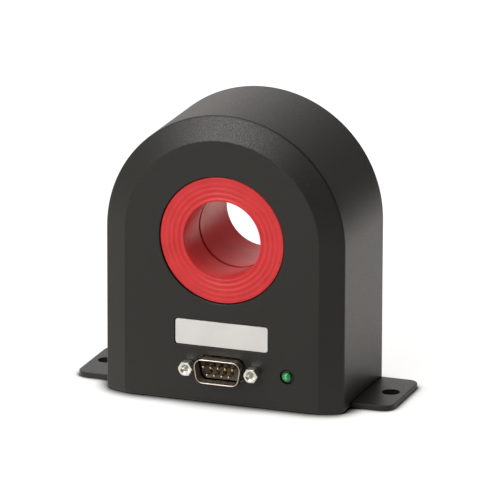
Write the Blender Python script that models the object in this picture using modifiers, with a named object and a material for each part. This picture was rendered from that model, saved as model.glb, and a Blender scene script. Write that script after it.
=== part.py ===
# Fluxgate current transducer: a black arched housing on a plate with two ears, a red bushing
# through it for the cable, and a nine-pin connector and a lamp on its front. Inside are the
# three ring cores, their windings and the electronics.
# Metres, +Z up. The front faces -Y. The origin is on the underside of the mounting plate,
# midway between its two holes. Depths are measured from the front face towards the back.

import math

import bmesh
import bpy
from mathutils import Matrix, Vector

MM = 0.001

# Clearances
SEAT_GAP = 0.3 * MM  # between two faces that rest on each other
SIDE_GAP = 0.3 * MM  # beside a piece in its recess
SCREW_GAP = 0.25 * MM  # round a screw's shank

# Housing
BODY_WIDTH = 91.1 * MM
BODY_DEPTH = 46.5 * MM
BEVEL_WIDTH = 8.5 * MM
BEVEL_DEPTH = 4.0 * MM
FOOT_RADIUS = 2.0 * MM
WALL = 3.0 * MM
FLOOR_WALL = 5.0 * MM
RIM_WALL = 1.5 * MM  # beside the back cover
BOSS_DIAMETER = 7.2 * MM
BOSS_IN_WALL = 0.3 * MM

# Mounting plate
EAR_SPAN = 121.4 * MM
EAR_SETBACK = 12.1 * MM
EAR_BACK_MARGIN = 1.6 * MM  # from the housing's back
EAR_CORNER = 4.0 * MM
PLATE_THICKNESS = 2.0 * MM
PLATE_RELIEF = 0.2 * MM  # milled off its top where the housing stands
MOUNT_SPACING = 110.0 * MM
MOUNT_HOLE = 6.5 * MM
BASE_SCREW_INSET = 5.3 * MM  # from the inner side wall
BASE_SCREW_MARGIN = 5.5 * MM  # from the plate's front and back edges

# Back cover
COVER_THICKNESS = 3.0 * MM
COVER_SILL = 3.8 * MM  # underside of the cover's recess
COVER_ANGLES = (14.0, 62.0, 118.0, 166.0)
COVER_LOW_SCREW = 18.0 * MM

# Bushings
APERTURE = 29.0 * MM
BUSHING_WALL = 2.4 * MM
FLANGE_DIAMETER = 47.0 * MM
FLANGE_THICKNESS = 1.4 * MM
FLANGE_BELOW = 0.5 * MM  # the front flange lies this far below the housing's face
SEAM_DEPTH = 16.8 * MM
SLEEVE_OVERLAP = 4.0 * MM
LIP_RADIUS = 1.0 * MM
RING_COUNT = 5
RING_PITCH = 1.55 * MM
RING_DROP = 0.2 * MM  # between a ring's crest and the hollow beside it
BORE_ABOVE_NAME_PLATE = 35.5 * MM  # between their centres

# Name plate
NAME_PLATE_WIDTH = 35.3 * MM
NAME_PLATE_HEIGHT = 9.4 * MM
NAME_PLATE_THICKNESS = 0.6 * MM
NAME_PLATE_RECESS = 1.1 * MM
NAME_PLATE_ABOVE_CONNECTOR = 12.85 * MM  # between their centres
NAME_PLATE_CORNER = 1.0 * MM

# Nine-pin connector
CONNECTOR_Z = 12.95 * MM
CONNECTOR_WEB = 1.0 * MM
SHELL_TO_JACK = 4.045 * MM  # from its inside to a jackscrew's centre
SHELL_INSIDE_HEIGHT = 8.3 * MM
SHELL_CORNER = 2.6 * MM
SHELL_WALL = 0.4 * MM
SHELL_LEAN = math.radians(10.0)
SHELL_PROUD = 4.8 * MM
SHELL_CUT_GAP = 0.4 * MM
SHELL_FLANGE_PAST_JACK = 2.905 * MM
SHELL_FLANGE_HEIGHT = 12.5 * MM
SHELL_FLANGE_THICKNESS = 1.0 * MM
SHELL_FLANGE_CORNER = 1.6 * MM
INSULATOR_FACE = 0.5 * MM
INSULATOR_BLOCK_TO_NUT = 0.6 * MM
INSULATOR_BLOCK_HEIGHT = 10.4 * MM
INSULATOR_BLOCK_LENGTH = 5.4 * MM
PIN_TO_SHELL = 2.91 * MM  # from the outer pins' centres to the shell's inside
PIN_ROW_PITCH = 2.84 * MM
PIN_DIAMETER = 1.0 * MM
PIN_TAIL = 0.7 * MM
PIN_PROUD = 3.9 * MM
PIN_PAST_BOARD = 1.0 * MM
PIN_ROWS = (5, 4)

# Jackscrews
JACK_SPACING = 24.99 * MM
JACK_ACROSS_FLATS = 4.8 * MM
JACK_PROUD = 4.1 * MM
JACK_THREAD = 2.8 * MM
JACK_BORE = 2.5 * MM
JACK_MOUTH = 3.5 * MM
JACK_BORE_DEPTH = 3.0 * MM
NUT_THICKNESS = 2.0 * MM
NUT_ACROSS_FLATS = 5.0 * MM
STUD_PAST_NUT = 0.8 * MM

# Lamp
LED_X = 25.1 * MM
LED_Z = 12.9 * MM
LED_HOLE = 5.3 * MM
LED_DIAMETER = 3.4 * MM
LED_FLANGE = 4.6 * MM
LED_FLANGE_THICKNESS = 1.0 * MM
LED_PROUD = 1.4 * MM
LED_LENGTH = 3.0 * MM
LED_LEG = 0.5 * MM
LED_LEG_PITCH = 2.54 * MM
LED_SPACER = 4.6 * MM

# Main board
BOARD_THICKNESS = 1.6 * MM
BOARD_MARGIN = 9.5 * MM  # from the inner side walls
BOARD_FLOOR_GAP = 1.0 * MM
BOARD_SCREW_INSET = 3.4 * MM
BOARD_BOSS = 5.4 * MM
BOARD_TOP_GAP = 1.0 * MM
BOARD_BEHIND_CONNECTOR = 0.6 * MM

# Screws
M3_SHANK = 2.9 * MM
M3_HEAD = 5.6 * MM
M3_HEAD_HEIGHT = 1.6 * MM
M3_SOCKET = 2.0 * MM
M3_SOCKET_DEPTH = 1.1 * MM
HEAD_EDGE = 0.2 * MM  # straight edge round a flush head
HEAD_BELOW = 0.1 * MM  # how far a flush head lies below the face round it
COVER_SCREW_LENGTH = 10.0 * MM
BASE_SCREW_LENGTH = 7.5 * MM
BOARD_SCREW_SHANK = 2.4 * MM
BOARD_SCREW_HEAD = 4.6 * MM
BOARD_SCREW_HEAD_HEIGHT = 1.6 * MM
BOARD_SCREW_LENGTH = 5.0 * MM
SCREW_TIP_ROOM = 0.6 * MM

# Ring stack
RING_AROUND_TUBE = 0.6 * MM
RING_TO_BOSS = 0.6 * MM
WINDING_WALL = 2.4 * MM
WINDING_OPENING = 7.0 * MM
EXCITATION_WALL = 0.8 * MM
EXCITATION_OPENING = 4.0 * MM
SENSE_CORE_THICKNESS = 3.0 * MM
SENSE_CORE_INSET = 1.6 * MM  # narrower than the feedback core, inside and outside
FEEDBACK_CORE_THICKNESS = 4.8 * MM
SPACER_RING_WALL = 7.0 * MM

# Electronics
CAPACITOR_DIAMETER = 8.0 * MM
CAPACITOR_LENGTH = 14.0 * MM
CAPACITOR_PITCH = 8.8 * MM
PART_EDGE = 1.2 * MM  # from the board's side edges
PART_GAP = 0.8 * MM  # between neighbours on the board
CONVERTER_SIZE = (9.6 * MM, 12.0 * MM, 6.5 * MM)
SHUNT_SIZE = (14.0 * MM, 3.5 * MM, 3.6 * MM)
SHUNT_ABOVE_PINS = 1.6 * MM
CHIP_SIZE = (10.0 * MM, 1.6 * MM, 10.0 * MM)
CHIP_X = -21.0 * MM
CHIP_Z = 22.0 * MM
AMPLIFIER_WIDTH = 9.6 * MM
AMPLIFIER_BODY = 8.6 * MM
AMPLIFIER_THICKNESS = 4.2 * MM
AMPLIFIER_TAB = 5.6 * MM
AMPLIFIER_TAB_THICKNESS = 1.2 * MM
AMPLIFIER_TAB_WIDTH = 8.6 * MM
AMPLIFIER_TAB_STEP = 0.1 * MM  # its underside lies this far above the body's
AMPLIFIER_PITCH = 10.4 * MM
AMPLIFIER_LEG = 0.7 * MM
AMPLIFIER_LEG_PITCH = 2.54 * MM
AMPLIFIER_FROM_BOARD = 4.0 * MM
SPREADER_THICKNESS = 2.5 * MM
SPREADER_MARGIN = 1.0 * MM  # round the amplifiers
LEAD_DIAMETER = 0.8 * MM
LEAD_SAG = 0.8 * MM
LEAD_RUNS = 6

# Facets
ARCH_STEPS = 44
TURN_STEPS = 30
BUSHING_STEPS = 44
SCREW_STEPS = 10
BOSS_STEPS = 14
HOLE_STEPS = 24
CORNER_STEPS = 4

# Places worked out from the sizes above
NAME_PLATE_Z = CONNECTOR_Z + NAME_PLATE_ABOVE_CONNECTOR
BORE_HEIGHT = NAME_PLATE_Z + BORE_ABOVE_NAME_PLATE  # centre of the arch and of the aperture
EAR_DEPTH = BODY_DEPTH - EAR_SETBACK - EAR_BACK_MARGIN
FACE_Y = -(EAR_SETBACK + EAR_DEPTH / 2)
HALF_WIDTH = BODY_WIDTH / 2
INNER_HALF = HALF_WIDTH - WALL
COVER_SEAT = BODY_DEPTH - COVER_THICKNESS - SEAT_GAP
COVER_HALF = HALF_WIDTH - RIM_WALL - SIDE_GAP
BOSS_CIRCLE = INNER_HALF + BOSS_IN_WALL - BOSS_DIAMETER / 2
BASE_SCREW_X = INNER_HALF - BASE_SCREW_INSET
BASE_SCREW_DEPTHS = (EAR_SETBACK + BASE_SCREW_MARGIN, EAR_SETBACK + EAR_DEPTH - BASE_SCREW_MARGIN)
PLATE_RECESS_TOP = PLATE_THICKNESS - PLATE_RELIEF + SEAT_GAP
M3_HOLE = M3_SHANK + 2 * SCREW_GAP

TUBE_RADIUS = APERTURE / 2 + BUSHING_WALL
FLANGE_SEAT = FLANGE_THICKNESS + SEAT_GAP
FRONT_FLANGE_SEAT = FLANGE_BELOW + FLANGE_SEAT
FLANGE_RECESS = FLANGE_DIAMETER + 2 * SIDE_GAP
TUBE_HOLE = 2 * (TUBE_RADIUS + SIDE_GAP)

SHELL_INSIDE_WIDTH = JACK_SPACING - 2 * SHELL_TO_JACK
SHELL_FLANGE_WIDTH = JACK_SPACING + 2 * SHELL_FLANGE_PAST_JACK
PIN_PITCH = (SHELL_INSIDE_WIDTH - 2 * PIN_TO_SHELL) / (max(PIN_ROWS) - 1)
NUT_ACROSS_CORNERS = NUT_ACROSS_FLATS * 2 / math.sqrt(3)
INSULATOR_BLOCK_WIDTH = JACK_SPACING - NUT_ACROSS_CORNERS - 2 * INSULATOR_BLOCK_TO_NUT
SHELL_FLANGE_DEPTH = CONNECTOR_WEB + SEAT_GAP
SHELL_FLANGE_BACK = SHELL_FLANGE_DEPTH + SHELL_FLANGE_THICKNESS
INSULATOR_BACK = SHELL_FLANGE_BACK + SEAT_GAP + INSULATOR_BLOCK_LENGTH
NUT_DEPTH = SHELL_FLANGE_BACK + SEAT_GAP
BOARD_DEPTH = INSULATOR_BACK + BOARD_BEHIND_CONNECTOR
BOARD_BACK = BOARD_DEPTH + BOARD_THICKNESS
BOARD_HALF = INNER_HALF - BOARD_MARGIN
BOARD_FOOT = FLOOR_WALL + BOARD_FLOOR_GAP
BOARD_SCREW_HOLE = BOARD_SCREW_SHANK + 2 * SCREW_GAP

RING_INNER = TUBE_RADIUS + RING_AROUND_TUBE
RING_OUTER = BOSS_CIRCLE - BOSS_DIAMETER / 2 - RING_TO_BOSS
BOARD_TOP = BORE_HEIGHT - RING_INNER - SPACER_RING_WALL - BOARD_TOP_GAP
EXCITATION_LENGTH = SENSE_CORE_THICKNESS + 2 * (EXCITATION_WALL + SEAT_GAP)
STACK_LENGTH = 2 * EXCITATION_LENGTH + FEEDBACK_CORE_THICKNESS + 4 * SEAT_GAP
RING_FRONT = BOARD_BACK + 2 * SEAT_GAP + BOARD_SCREW_HEAD_HEIGHT
RING_BACK = RING_FRONT + STACK_LENGTH + 2 * WINDING_WALL

# Colour, roughness and metallic value of each material
LOOKS = {
    "black_powder_coat": ((0.035, 0.033, 0.031), 0.5, 0.0),
    "red_plastic": ((0.62, 0.06, 0.05), 0.35, 0.0),
    "silver_plate": ((0.70, 0.68, 0.65), 0.35, 0.9),
    "nickel_plate": ((0.60, 0.58, 0.53), 0.25, 1.0),
    "zinc_steel": ((0.62, 0.62, 0.60), 0.3, 1.0),
    "black_plastic": ((0.02, 0.02, 0.02), 0.5, 0.0),
    "gold_plate": ((0.85, 0.60, 0.25), 0.25, 1.0),
    "green_lens": ((0.03, 0.35, 0.12), 0.2, 0.0),
    "green_board": ((0.02, 0.16, 0.07), 0.45, 0.0),
    "core_tape": ((0.35, 0.36, 0.38), 0.4, 1.0),
    "copper_wire": ((0.60, 0.22, 0.09), 0.35, 1.0),
    "grey_foam": ((0.16, 0.16, 0.17), 0.9, 0.0),
    "bare_aluminium": ((0.70, 0.70, 0.71), 0.4, 1.0),
    "blue_sleeve": ((0.03, 0.06, 0.20), 0.4, 0.0),
    "wire_jacket": ((0.55, 0.45, 0.05), 0.5, 0.0),
}


def material(name):
    existing = bpy.data.materials.get(name)
    if existing:
        return existing
    colour, roughness, metallic = LOOKS[name]
    made = bpy.data.materials.new(name)
    made.use_nodes = True
    shader = made.node_tree.nodes["Principled BSDF"]
    shader.inputs["Base Color"].default_value = (*colour, 1.0)
    shader.inputs["Roughness"].default_value = roughness
    shader.inputs["Metallic"].default_value = metallic
    return made


def collection(name):
    made = bpy.data.collections.get(name) or bpy.data.collections.new(name)
    if made.name not in bpy.context.scene.collection.children:
        bpy.context.scene.collection.children.link(made)
    return made


def place(name, mesh, look):
    """Puts a mesh in the scene: a named part with its material, or a cutter if it has none."""
    made = bpy.data.objects.new(name, mesh)
    if look:
        mesh.materials.append(material(look))
        collection("fluxgate_current_transducer").objects.link(made)
    else:
        made.hide_render = True
        made.display_type = "WIRE"
        collection("cutters").objects.link(made)
    return made


def boolean(target, other, operation):
    step = target.modifiers.new(other.name, "BOOLEAN")
    step.operation = operation
    step.solver = "EXACT"
    step.object = other
    return target


def cut(target, *cutters):
    for cutter in cutters:
        boolean(target, cutter, "DIFFERENCE")
    return target


def join(target, *others):
    for other in others:
        boolean(target, other, "UNION")
    return target


def shade_round(mesh):
    mesh.shade_smooth()
    mesh.set_sharp_from_angle(angle=math.radians(35.0))


def box(name, low, high, look=None):
    """A box between two corners."""
    low, high = Vector(low), Vector(high)
    bm = bmesh.new()
    matrix = Matrix.Translation((low + high) / 2) @ Matrix.Diagonal((*(high - low), 1.0))
    bmesh.ops.create_cube(bm, size=1.0, matrix=matrix)
    mesh = bpy.data.meshes.new(name)
    bm.to_mesh(mesh)
    bm.free()
    return place(name, mesh, look)


def across(low_depth, high_depth, x, z, half_width, half_height):
    """Corners of a box given by its depths and its centre as seen from the front."""
    low = (x - half_width, FACE_Y + low_depth, z - half_height)
    high = (x + half_width, FACE_Y + high_depth, z + half_height)
    return low, high


def rod(name, diameter, start, end, look=None, steps=SCREW_STEPS, turn=0.0):
    """A cylinder, or a prism with few steps, from one point to another."""
    start, end = Vector(start), Vector(end)
    run = end - start
    matrix = Matrix.Translation((start + end) / 2) @ run.to_track_quat("Z", "Y").to_matrix().to_4x4()
    bm = bmesh.new()
    bmesh.ops.create_cone(
        bm,
        cap_ends=True,
        segments=steps,
        radius1=diameter / 2,
        radius2=diameter / 2,
        depth=run.length,
        matrix=matrix @ Matrix.Rotation(turn, 4, "Z"),
    )
    mesh = bpy.data.meshes.new(name)
    bm.to_mesh(mesh)
    bm.free()
    shade_round(mesh)
    return place(name, mesh, look)


def drill(name, diameter, x, z, low_depth, high_depth, steps=SCREW_STEPS):
    """A cutter for a round hole along the depth."""
    start = (x, FACE_Y + high_depth, z)
    end = (x, FACE_Y + low_depth, z)
    return rod(name, diameter, start, end, steps=steps)


def rounded(corners, radius, steps=CORNER_STEPS):
    """A convex outline's corners, anticlockwise, each replaced by an arc."""
    points = []
    count = len(corners)
    for i, corner in enumerate(corners):
        corner = Vector(corner)
        before = (Vector(corners[i - 1]) - corner).normalized()
        after = (Vector(corners[(i + 1) % count]) - corner).normalized()
        half_angle = before.angle(after) / 2
        centre = corner + (before + after).normalized() * radius / math.sin(half_angle)
        start = corner + before * radius / math.tan(half_angle) - centre
        sweep = math.pi - 2 * half_angle
        for k in range(steps + 1):
            arm = start.copy()
            arm.rotate(Matrix.Rotation(sweep * k / steps, 2))
            points.append(centre + arm)
    return points


def rectangle(width, height, x=0.0, z=0.0):
    return [
        (x - width / 2, z - height / 2),
        (x + width / 2, z - height / 2),
        (x + width / 2, z + height / 2),
        (x - width / 2, z + height / 2),
    ]


def arch_outline(half_width, arch_z, foot_z):
    """A rectangle under a half circle, anticlockwise as seen from the front."""
    points = [(-half_width, foot_z), (half_width, foot_z)]
    for k in range(ARCH_STEPS + 1):
        angle = math.pi * k / ARCH_STEPS
        points.append((half_width * math.cos(angle), arch_z + half_width * math.sin(angle)))
    return points


def connector_outline(grow):
    """The connector's outline with leaning sides, larger all round by grow."""
    half_height = SHELL_INSIDE_HEIGHT / 2 + grow
    radius = SHELL_CORNER + grow
    lean = math.tan(SHELL_LEAN)
    past_corner = radius * (lean + 1 / math.cos(SHELL_LEAN) - 1)
    top = SHELL_INSIDE_WIDTH / 2 + grow + past_corner
    foot = top - 2 * half_height * lean
    corners = [(-foot, -half_height), (foot, -half_height), (top, half_height), (-top, half_height)]
    return [(p[0], p[1] + CONNECTOR_Z) for p in rounded(corners, radius)]


def extruded(name, outline, thickness, matrix, look):
    """A filled flat outline given its thickness, as a mesh."""
    curve = bpy.data.curves.new(name, "CURVE")
    curve.dimensions = "2D"
    curve.fill_mode = "BOTH"
    curve.extrude = thickness / 2
    spline = curve.splines.new("POLY")
    spline.points.add(len(outline) - 1)
    for point, (across_x, up) in zip(spline.points, outline):
        point.co = (across_x, up, 0.0, 1.0)
    spline.use_cyclic_u = True
    guide = bpy.data.objects.new(name + "_outline", curve)
    collection("cutters").objects.link(guide)
    depsgraph = bpy.context.evaluated_depsgraph_get()
    mesh = bpy.data.meshes.new_from_object(guide.evaluated_get(depsgraph))
    bpy.data.objects.remove(guide)
    bm = bmesh.new()
    bm.from_mesh(mesh)
    bmesh.ops.remove_doubles(bm, verts=bm.verts, dist=0.001 * MM)
    bmesh.ops.recalc_face_normals(bm, faces=bm.faces)
    bm.to_mesh(mesh)
    bm.free()
    mesh.name = name
    shade_round(mesh)
    made = place(name, mesh, look)
    made.matrix_world = matrix
    return made


def upright(name, outline, low_depth, high_depth, look=None):
    """An outline seen from the front, extruded between two depths."""
    matrix = Matrix.Translation((0, FACE_Y + (low_depth + high_depth) / 2, 0))
    matrix = matrix @ Matrix.Rotation(math.pi / 2, 4, "X")
    return extruded(name, outline, high_depth - low_depth, matrix, look)


def level(name, outline, low_z, high_z, look=None):
    """An outline seen from above, extruded between two heights."""
    return extruded(name, outline, high_z - low_z, Matrix.Translation((0, 0, (low_z + high_z) / 2)), look)


def turned(name, profile, look=None, x=0.0, z=BORE_HEIGHT, steps=TURN_STEPS):
    """A profile of (radius, depth) turned about an axis along the depth."""
    mesh = bpy.data.meshes.new(name)
    closed = profile[0][0] > 0 or profile[-1][0] > 0
    edges = [(i, i + 1) for i in range(len(profile) - 1)]
    if closed:
        edges.append((len(profile) - 1, 0))
    mesh.from_pydata([(radius, 0.0, -depth) for radius, depth in profile], edges, [])
    made = place(name, mesh, look)
    made.location = (x, FACE_Y, z)
    made.rotation_euler = (math.pi / 2, 0.0, 0.0)
    screw = made.modifiers.new("turn", "SCREW")
    screw.axis = "Z"
    screw.steps = steps
    screw.render_steps = steps
    screw.use_merge_vertices = True
    screw.merge_threshold = 0.001 * MM
    screw.use_smooth_shade = True
    return made


def ring(name, inner, outer, low_depth, high_depth, look=None, steps=TURN_STEPS):
    profile = [(outer, low_depth), (outer, high_depth), (inner, high_depth), (inner, low_depth)]
    return turned(name, profile, look, steps=steps)


def settled(source):
    """The object's mesh with its modifiers applied, in the object's own space."""
    depsgraph = bpy.context.evaluated_depsgraph_get()
    return bpy.data.meshes.new_from_object(source.evaluated_get(depsgraph))


def arched_block(name, half_width, foot_z, low_depth, high_depth, bevel_width, bevel_depth, look=None):
    """An arched block whose front has a bevel round its sides and its arch, down to the floor."""
    bm = bmesh.new()
    outline = arch_outline(half_width, BORE_HEIGHT, foot_z - 2 * bevel_width)
    shoulder = FACE_Y + low_depth + bevel_depth
    rim = [bm.verts.new((x, shoulder, z)) for x, z in outline]
    front = bm.faces.new(rim)
    grown = bmesh.ops.extrude_face_region(bm, geom=[front], use_keep_orig=True)
    back = [v for v in grown["geom"] if isinstance(v, bmesh.types.BMVert)]
    bmesh.ops.translate(bm, verts=back, vec=(0, high_depth - low_depth - bevel_depth, 0))
    bmesh.ops.recalc_face_normals(bm, faces=bm.faces)
    bmesh.ops.inset_region(
        bm, faces=[front], thickness=bevel_width, depth=bevel_depth, use_even_offset=True
    )
    whole = bm.verts[:] + bm.edges[:] + bm.faces[:]
    sliced = bmesh.ops.bisect_plane(
        bm, geom=whole, plane_co=(0, 0, foot_z), plane_no=(0, 0, -1), clear_outer=True
    )
    edges = [e for e in sliced["geom_cut"] if isinstance(e, bmesh.types.BMEdge)]
    bmesh.ops.edgeloop_fill(bm, edges=edges)
    bmesh.ops.recalc_face_normals(bm, faces=bm.faces)
    mesh = bpy.data.meshes.new(name)
    bm.to_mesh(mesh)
    bm.free()
    return place(name, mesh, look)


def round_feet(block, radius):
    """Rounds the two long corners under an arched block."""
    bm = bmesh.new()
    bm.from_mesh(block.data)
    foot = min(v.co.z for v in bm.verts)
    corners = []
    for edge in bm.edges:
        low = all(abs(v.co.z - foot) < 0.01 * MM for v in edge.verts)
        aside = all(abs(v.co.x) > HALF_WIDTH - BEVEL_WIDTH - 0.01 * MM for v in edge.verts)
        if low and aside:
            corners.append(edge)
    bmesh.ops.bevel(bm, geom=corners, offset=radius, segments=4, profile=0.5, affect="EDGES")
    bm.to_mesh(block.data)
    bm.free()


def boss_places():
    """Centres, as seen from the front, of the bosses that take the cover's screws."""
    places = [(-BOSS_CIRCLE, COVER_LOW_SCREW), (BOSS_CIRCLE, COVER_LOW_SCREW)]
    for angle in COVER_ANGLES:
        turn = math.radians(angle)
        places.append((BOSS_CIRCLE * math.cos(turn), BORE_HEIGHT + BOSS_CIRCLE * math.sin(turn)))
    return places


def base_screw_places():
    return [(side * BASE_SCREW_X, FACE_Y + depth) for side in (-1, 1) for depth in BASE_SCREW_DEPTHS]


def board_screw_places():
    x = BOARD_HALF - BOARD_SCREW_INSET
    heights = (BOARD_FOOT + BOARD_SCREW_INSET, BOARD_TOP - BOARD_SCREW_INSET)
    return [(side * x, z) for side in (-1, 1) for z in heights]


def pin_places():
    """Centres of the pins, the upper row first."""
    places = []
    for row, count in enumerate(PIN_ROWS):
        z = CONNECTOR_Z + (0.5 - row) * PIN_ROW_PITCH
        places += [((k - (count - 1) / 2) * PIN_PITCH, z) for k in range(count)]
    return places


def inner_bevel():
    """Width and depth of the cavity's bevel, which keeps the wall's thickness all round."""
    slope = math.hypot(BEVEL_WIDTH, BEVEL_DEPTH)
    along = (BEVEL_WIDTH / slope, BEVEL_DEPTH / slope)
    edge_x = HALF_WIDTH - BEVEL_WIDTH - WALL * along[1]
    edge_depth = WALL * along[0]
    front_x = edge_x + (WALL - edge_depth) * along[0] / along[1]
    side_depth = edge_depth + (INNER_HALF - edge_x) * along[1] / along[0]
    return INNER_HALF - front_x, side_depth - WALL


def housing_cavity():
    """The hollow inside the housing, with its bosses left standing."""
    width, depth = inner_bevel()
    cavity = arched_block("cavity", INNER_HALF, FLOOR_WALL, WALL, BODY_DEPTH + WALL, width, depth)
    for i, (x, z) in enumerate(boss_places()):
        cut(cavity, drill(f"cover_boss_{i + 1}", BOSS_DIAMETER, x, z, 0.0, COVER_SEAT, steps=BOSS_STEPS))
    for i, (x, y) in enumerate(base_screw_places()):
        top = PLATE_RECESS_TOP + BASE_SCREW_LENGTH
        cut(cavity, rod(f"base_boss_{i + 1}", BOSS_DIAMETER, (x, y, 0.0), (x, y, top), steps=BOSS_STEPS))
    for i, (x, z) in enumerate(board_screw_places()):
        seat = BOARD_DEPTH - SEAT_GAP
        cut(cavity, drill(f"board_boss_{i + 1}", BOARD_BOSS, x, z, 0.0, seat, steps=SCREW_STEPS))
    return cavity


def make_housing():
    past = WALL  # how far a cutter runs past the face it opens
    shell = arched_block(
        "housing_shell", HALF_WIDTH, 0.0, 0.0, BODY_DEPTH, BEVEL_WIDTH, BEVEL_DEPTH, "black_powder_coat"
    )
    round_feet(shell, FOOT_RADIUS)
    cut(shell, housing_cavity())

    rim = arch_outline(HALF_WIDTH - RIM_WALL, BORE_HEIGHT, COVER_SILL)
    cut(shell, upright("cover_recess", rim, COVER_SEAT, BODY_DEPTH + past))
    low = (-HALF_WIDTH - past, FACE_Y + EAR_SETBACK - SIDE_GAP, -past)
    high = (HALF_WIDTH + past, FACE_Y + EAR_SETBACK + EAR_DEPTH + SIDE_GAP, PLATE_RECESS_TOP)
    cut(shell, box("plate_recess", low, high))

    steps = BUSHING_STEPS
    cut(shell, drill("flange_recess", FLANGE_RECESS, 0.0, BORE_HEIGHT, -past, FRONT_FLANGE_SEAT, steps))
    cut(shell, drill("tube_hole", TUBE_HOLE, 0.0, BORE_HEIGHT, -past, WALL + past, steps))

    pocket = rounded(
        rectangle(
            SHELL_FLANGE_WIDTH + 2 * SIDE_GAP, SHELL_FLANGE_HEIGHT + 2 * SIDE_GAP, z=CONNECTOR_Z
        ),
        SHELL_FLANGE_CORNER,
    )
    cut(shell, upright("connector_pocket", pocket, CONNECTOR_WEB, WALL + past))
    opening = connector_outline(SHELL_WALL + SHELL_CUT_GAP)
    cut(shell, upright("connector_opening", opening, -past, CONNECTOR_WEB + past / 2))
    for side, x in (("left", -JACK_SPACING / 2), ("right", JACK_SPACING / 2)):
        hole = JACK_THREAD + 2 * SCREW_GAP
        cut(shell, drill(f"jackscrew_hole_{side}", hole, x, CONNECTOR_Z, -past, WALL))
    cut(shell, drill("led_hole", LED_HOLE, LED_X, LED_Z, -past, WALL + past, steps=HOLE_STEPS))
    plate = rectangle(
        NAME_PLATE_WIDTH + 2 * SIDE_GAP, NAME_PLATE_HEIGHT + 2 * SIDE_GAP, z=NAME_PLATE_Z
    )
    recess = rounded(plate, NAME_PLATE_CORNER + SIDE_GAP)
    cut(shell, upright("name_plate_recess", recess, -past, NAME_PLATE_RECESS))

    reach = COVER_SCREW_LENGTH - COVER_THICKNESS + SCREW_TIP_ROOM
    for i, (x, z) in enumerate(boss_places()):
        cut(shell, drill(f"cover_tap_{i + 1}", M3_HOLE, x, z, COVER_SEAT - reach, COVER_SEAT + past))
    tap_top = BASE_SCREW_LENGTH + SCREW_TIP_ROOM
    for i, (x, y) in enumerate(base_screw_places()):
        cut(shell, rod(f"base_tap_{i + 1}", M3_HOLE, (x, y, -past), (x, y, tap_top)))
    for i, (x, z) in enumerate(board_screw_places()):
        depth = BOARD_BACK - BOARD_SCREW_LENGTH - SCREW_TIP_ROOM
        cut(shell, drill(f"board_tap_{i + 1}", BOARD_SCREW_HOLE, x, z, depth, BOARD_BACK))
    return shell


def countersink(name, place_at, look=None):
    """The cutter for a flush screw head, widest at its local top, with the hole under it."""
    sink = M3_HEAD / 2 + SCREW_GAP
    shank = M3_HOLE / 2
    end = COVER_THICKNESS + M3_HEAD_HEIGHT
    profile = [(0.0, -SEAT_GAP), (sink, -SEAT_GAP), (sink, HEAD_BELOW + HEAD_EDGE)]
    profile += [(shank, M3_HEAD_HEIGHT + HEAD_EDGE), (shank, end), (0.0, end)]
    made = turned(name, profile, look, steps=SCREW_STEPS)
    made.matrix_world = place_at
    return made


def from_back(x, z, depth):
    """A frame whose local top faces the back, with its origin at the given depth."""
    return Matrix.Translation((x, FACE_Y + depth, z)) @ Matrix.Rotation(-math.pi / 2, 4, "X")


def from_below(x, y):
    """A frame whose local top faces down, on the mounting plate's underside."""
    return Matrix.Translation((x, y, 0.0)) @ Matrix.Rotation(math.pi, 4, "X")


def make_back_cover():
    outline = arch_outline(COVER_HALF, BORE_HEIGHT, COVER_SILL + SIDE_GAP)
    front = BODY_DEPTH - COVER_THICKNESS
    cover = upright("back_cover", outline, front, BODY_DEPTH, "black_powder_coat")
    past = BODY_DEPTH + COVER_THICKNESS
    steps = BUSHING_STEPS
    recess = BODY_DEPTH - FLANGE_SEAT
    cut(cover, drill("rear_flange_recess", FLANGE_RECESS, 0.0, BORE_HEIGHT, recess, past, steps))
    start = front - COVER_THICKNESS
    cut(cover, drill("rear_tube_hole", TUBE_HOLE, 0.0, BORE_HEIGHT, start, past, steps))
    for i, (x, z) in enumerate(boss_places()):
        cut(cover, countersink(f"cover_sink_{i + 1}", from_back(x, z, BODY_DEPTH)))
    return cover


def make_mounting_plate():
    outline = rounded(rectangle(EAR_SPAN, EAR_DEPTH), EAR_CORNER, steps=8)
    plate = level("mounting_plate", outline, 0.0, PLATE_THICKNESS, "black_powder_coat")
    low = (-HALF_WIDTH - SIDE_GAP, -EAR_DEPTH, PLATE_THICKNESS - PLATE_RELIEF)
    high = (HALF_WIDTH + SIDE_GAP, EAR_DEPTH, 2 * PLATE_THICKNESS)
    cut(plate, box("plate_relief", low, high))
    for side, x in (("left", -MOUNT_SPACING / 2), ("right", MOUNT_SPACING / 2)):
        low, high = (x, 0.0, -PLATE_THICKNESS), (x, 0.0, 2 * PLATE_THICKNESS)
        cut(plate, rod(f"mount_hole_{side}", MOUNT_HOLE, low, high, steps=HOLE_STEPS))
    for i, (x, y) in enumerate(base_screw_places()):
        cut(plate, countersink(f"base_sink_{i + 1}", from_below(x, y)))
    return plate


def ringed_face():
    """Points across the flange's face from its rim inwards: shallow rings, one after another."""
    points = []
    for k in range(RING_COUNT):
        crest = FLANGE_DIAMETER / 2 - (k + 0.5) * RING_PITCH
        points.append((crest, 0.0))
        points.append((crest - RING_PITCH / 2, RING_DROP))
    return points


def rounded_lip():
    """Points from a bushing's face round into its bore, the second value counted inwards."""
    points = []
    for k in range(4):
        turn = math.radians(30.0 * k)
        reach = LIP_RADIUS * (1 - math.sin(turn))
        points.append((APERTURE / 2 + reach, LIP_RADIUS * (1 - math.cos(turn))))
    return points


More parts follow.
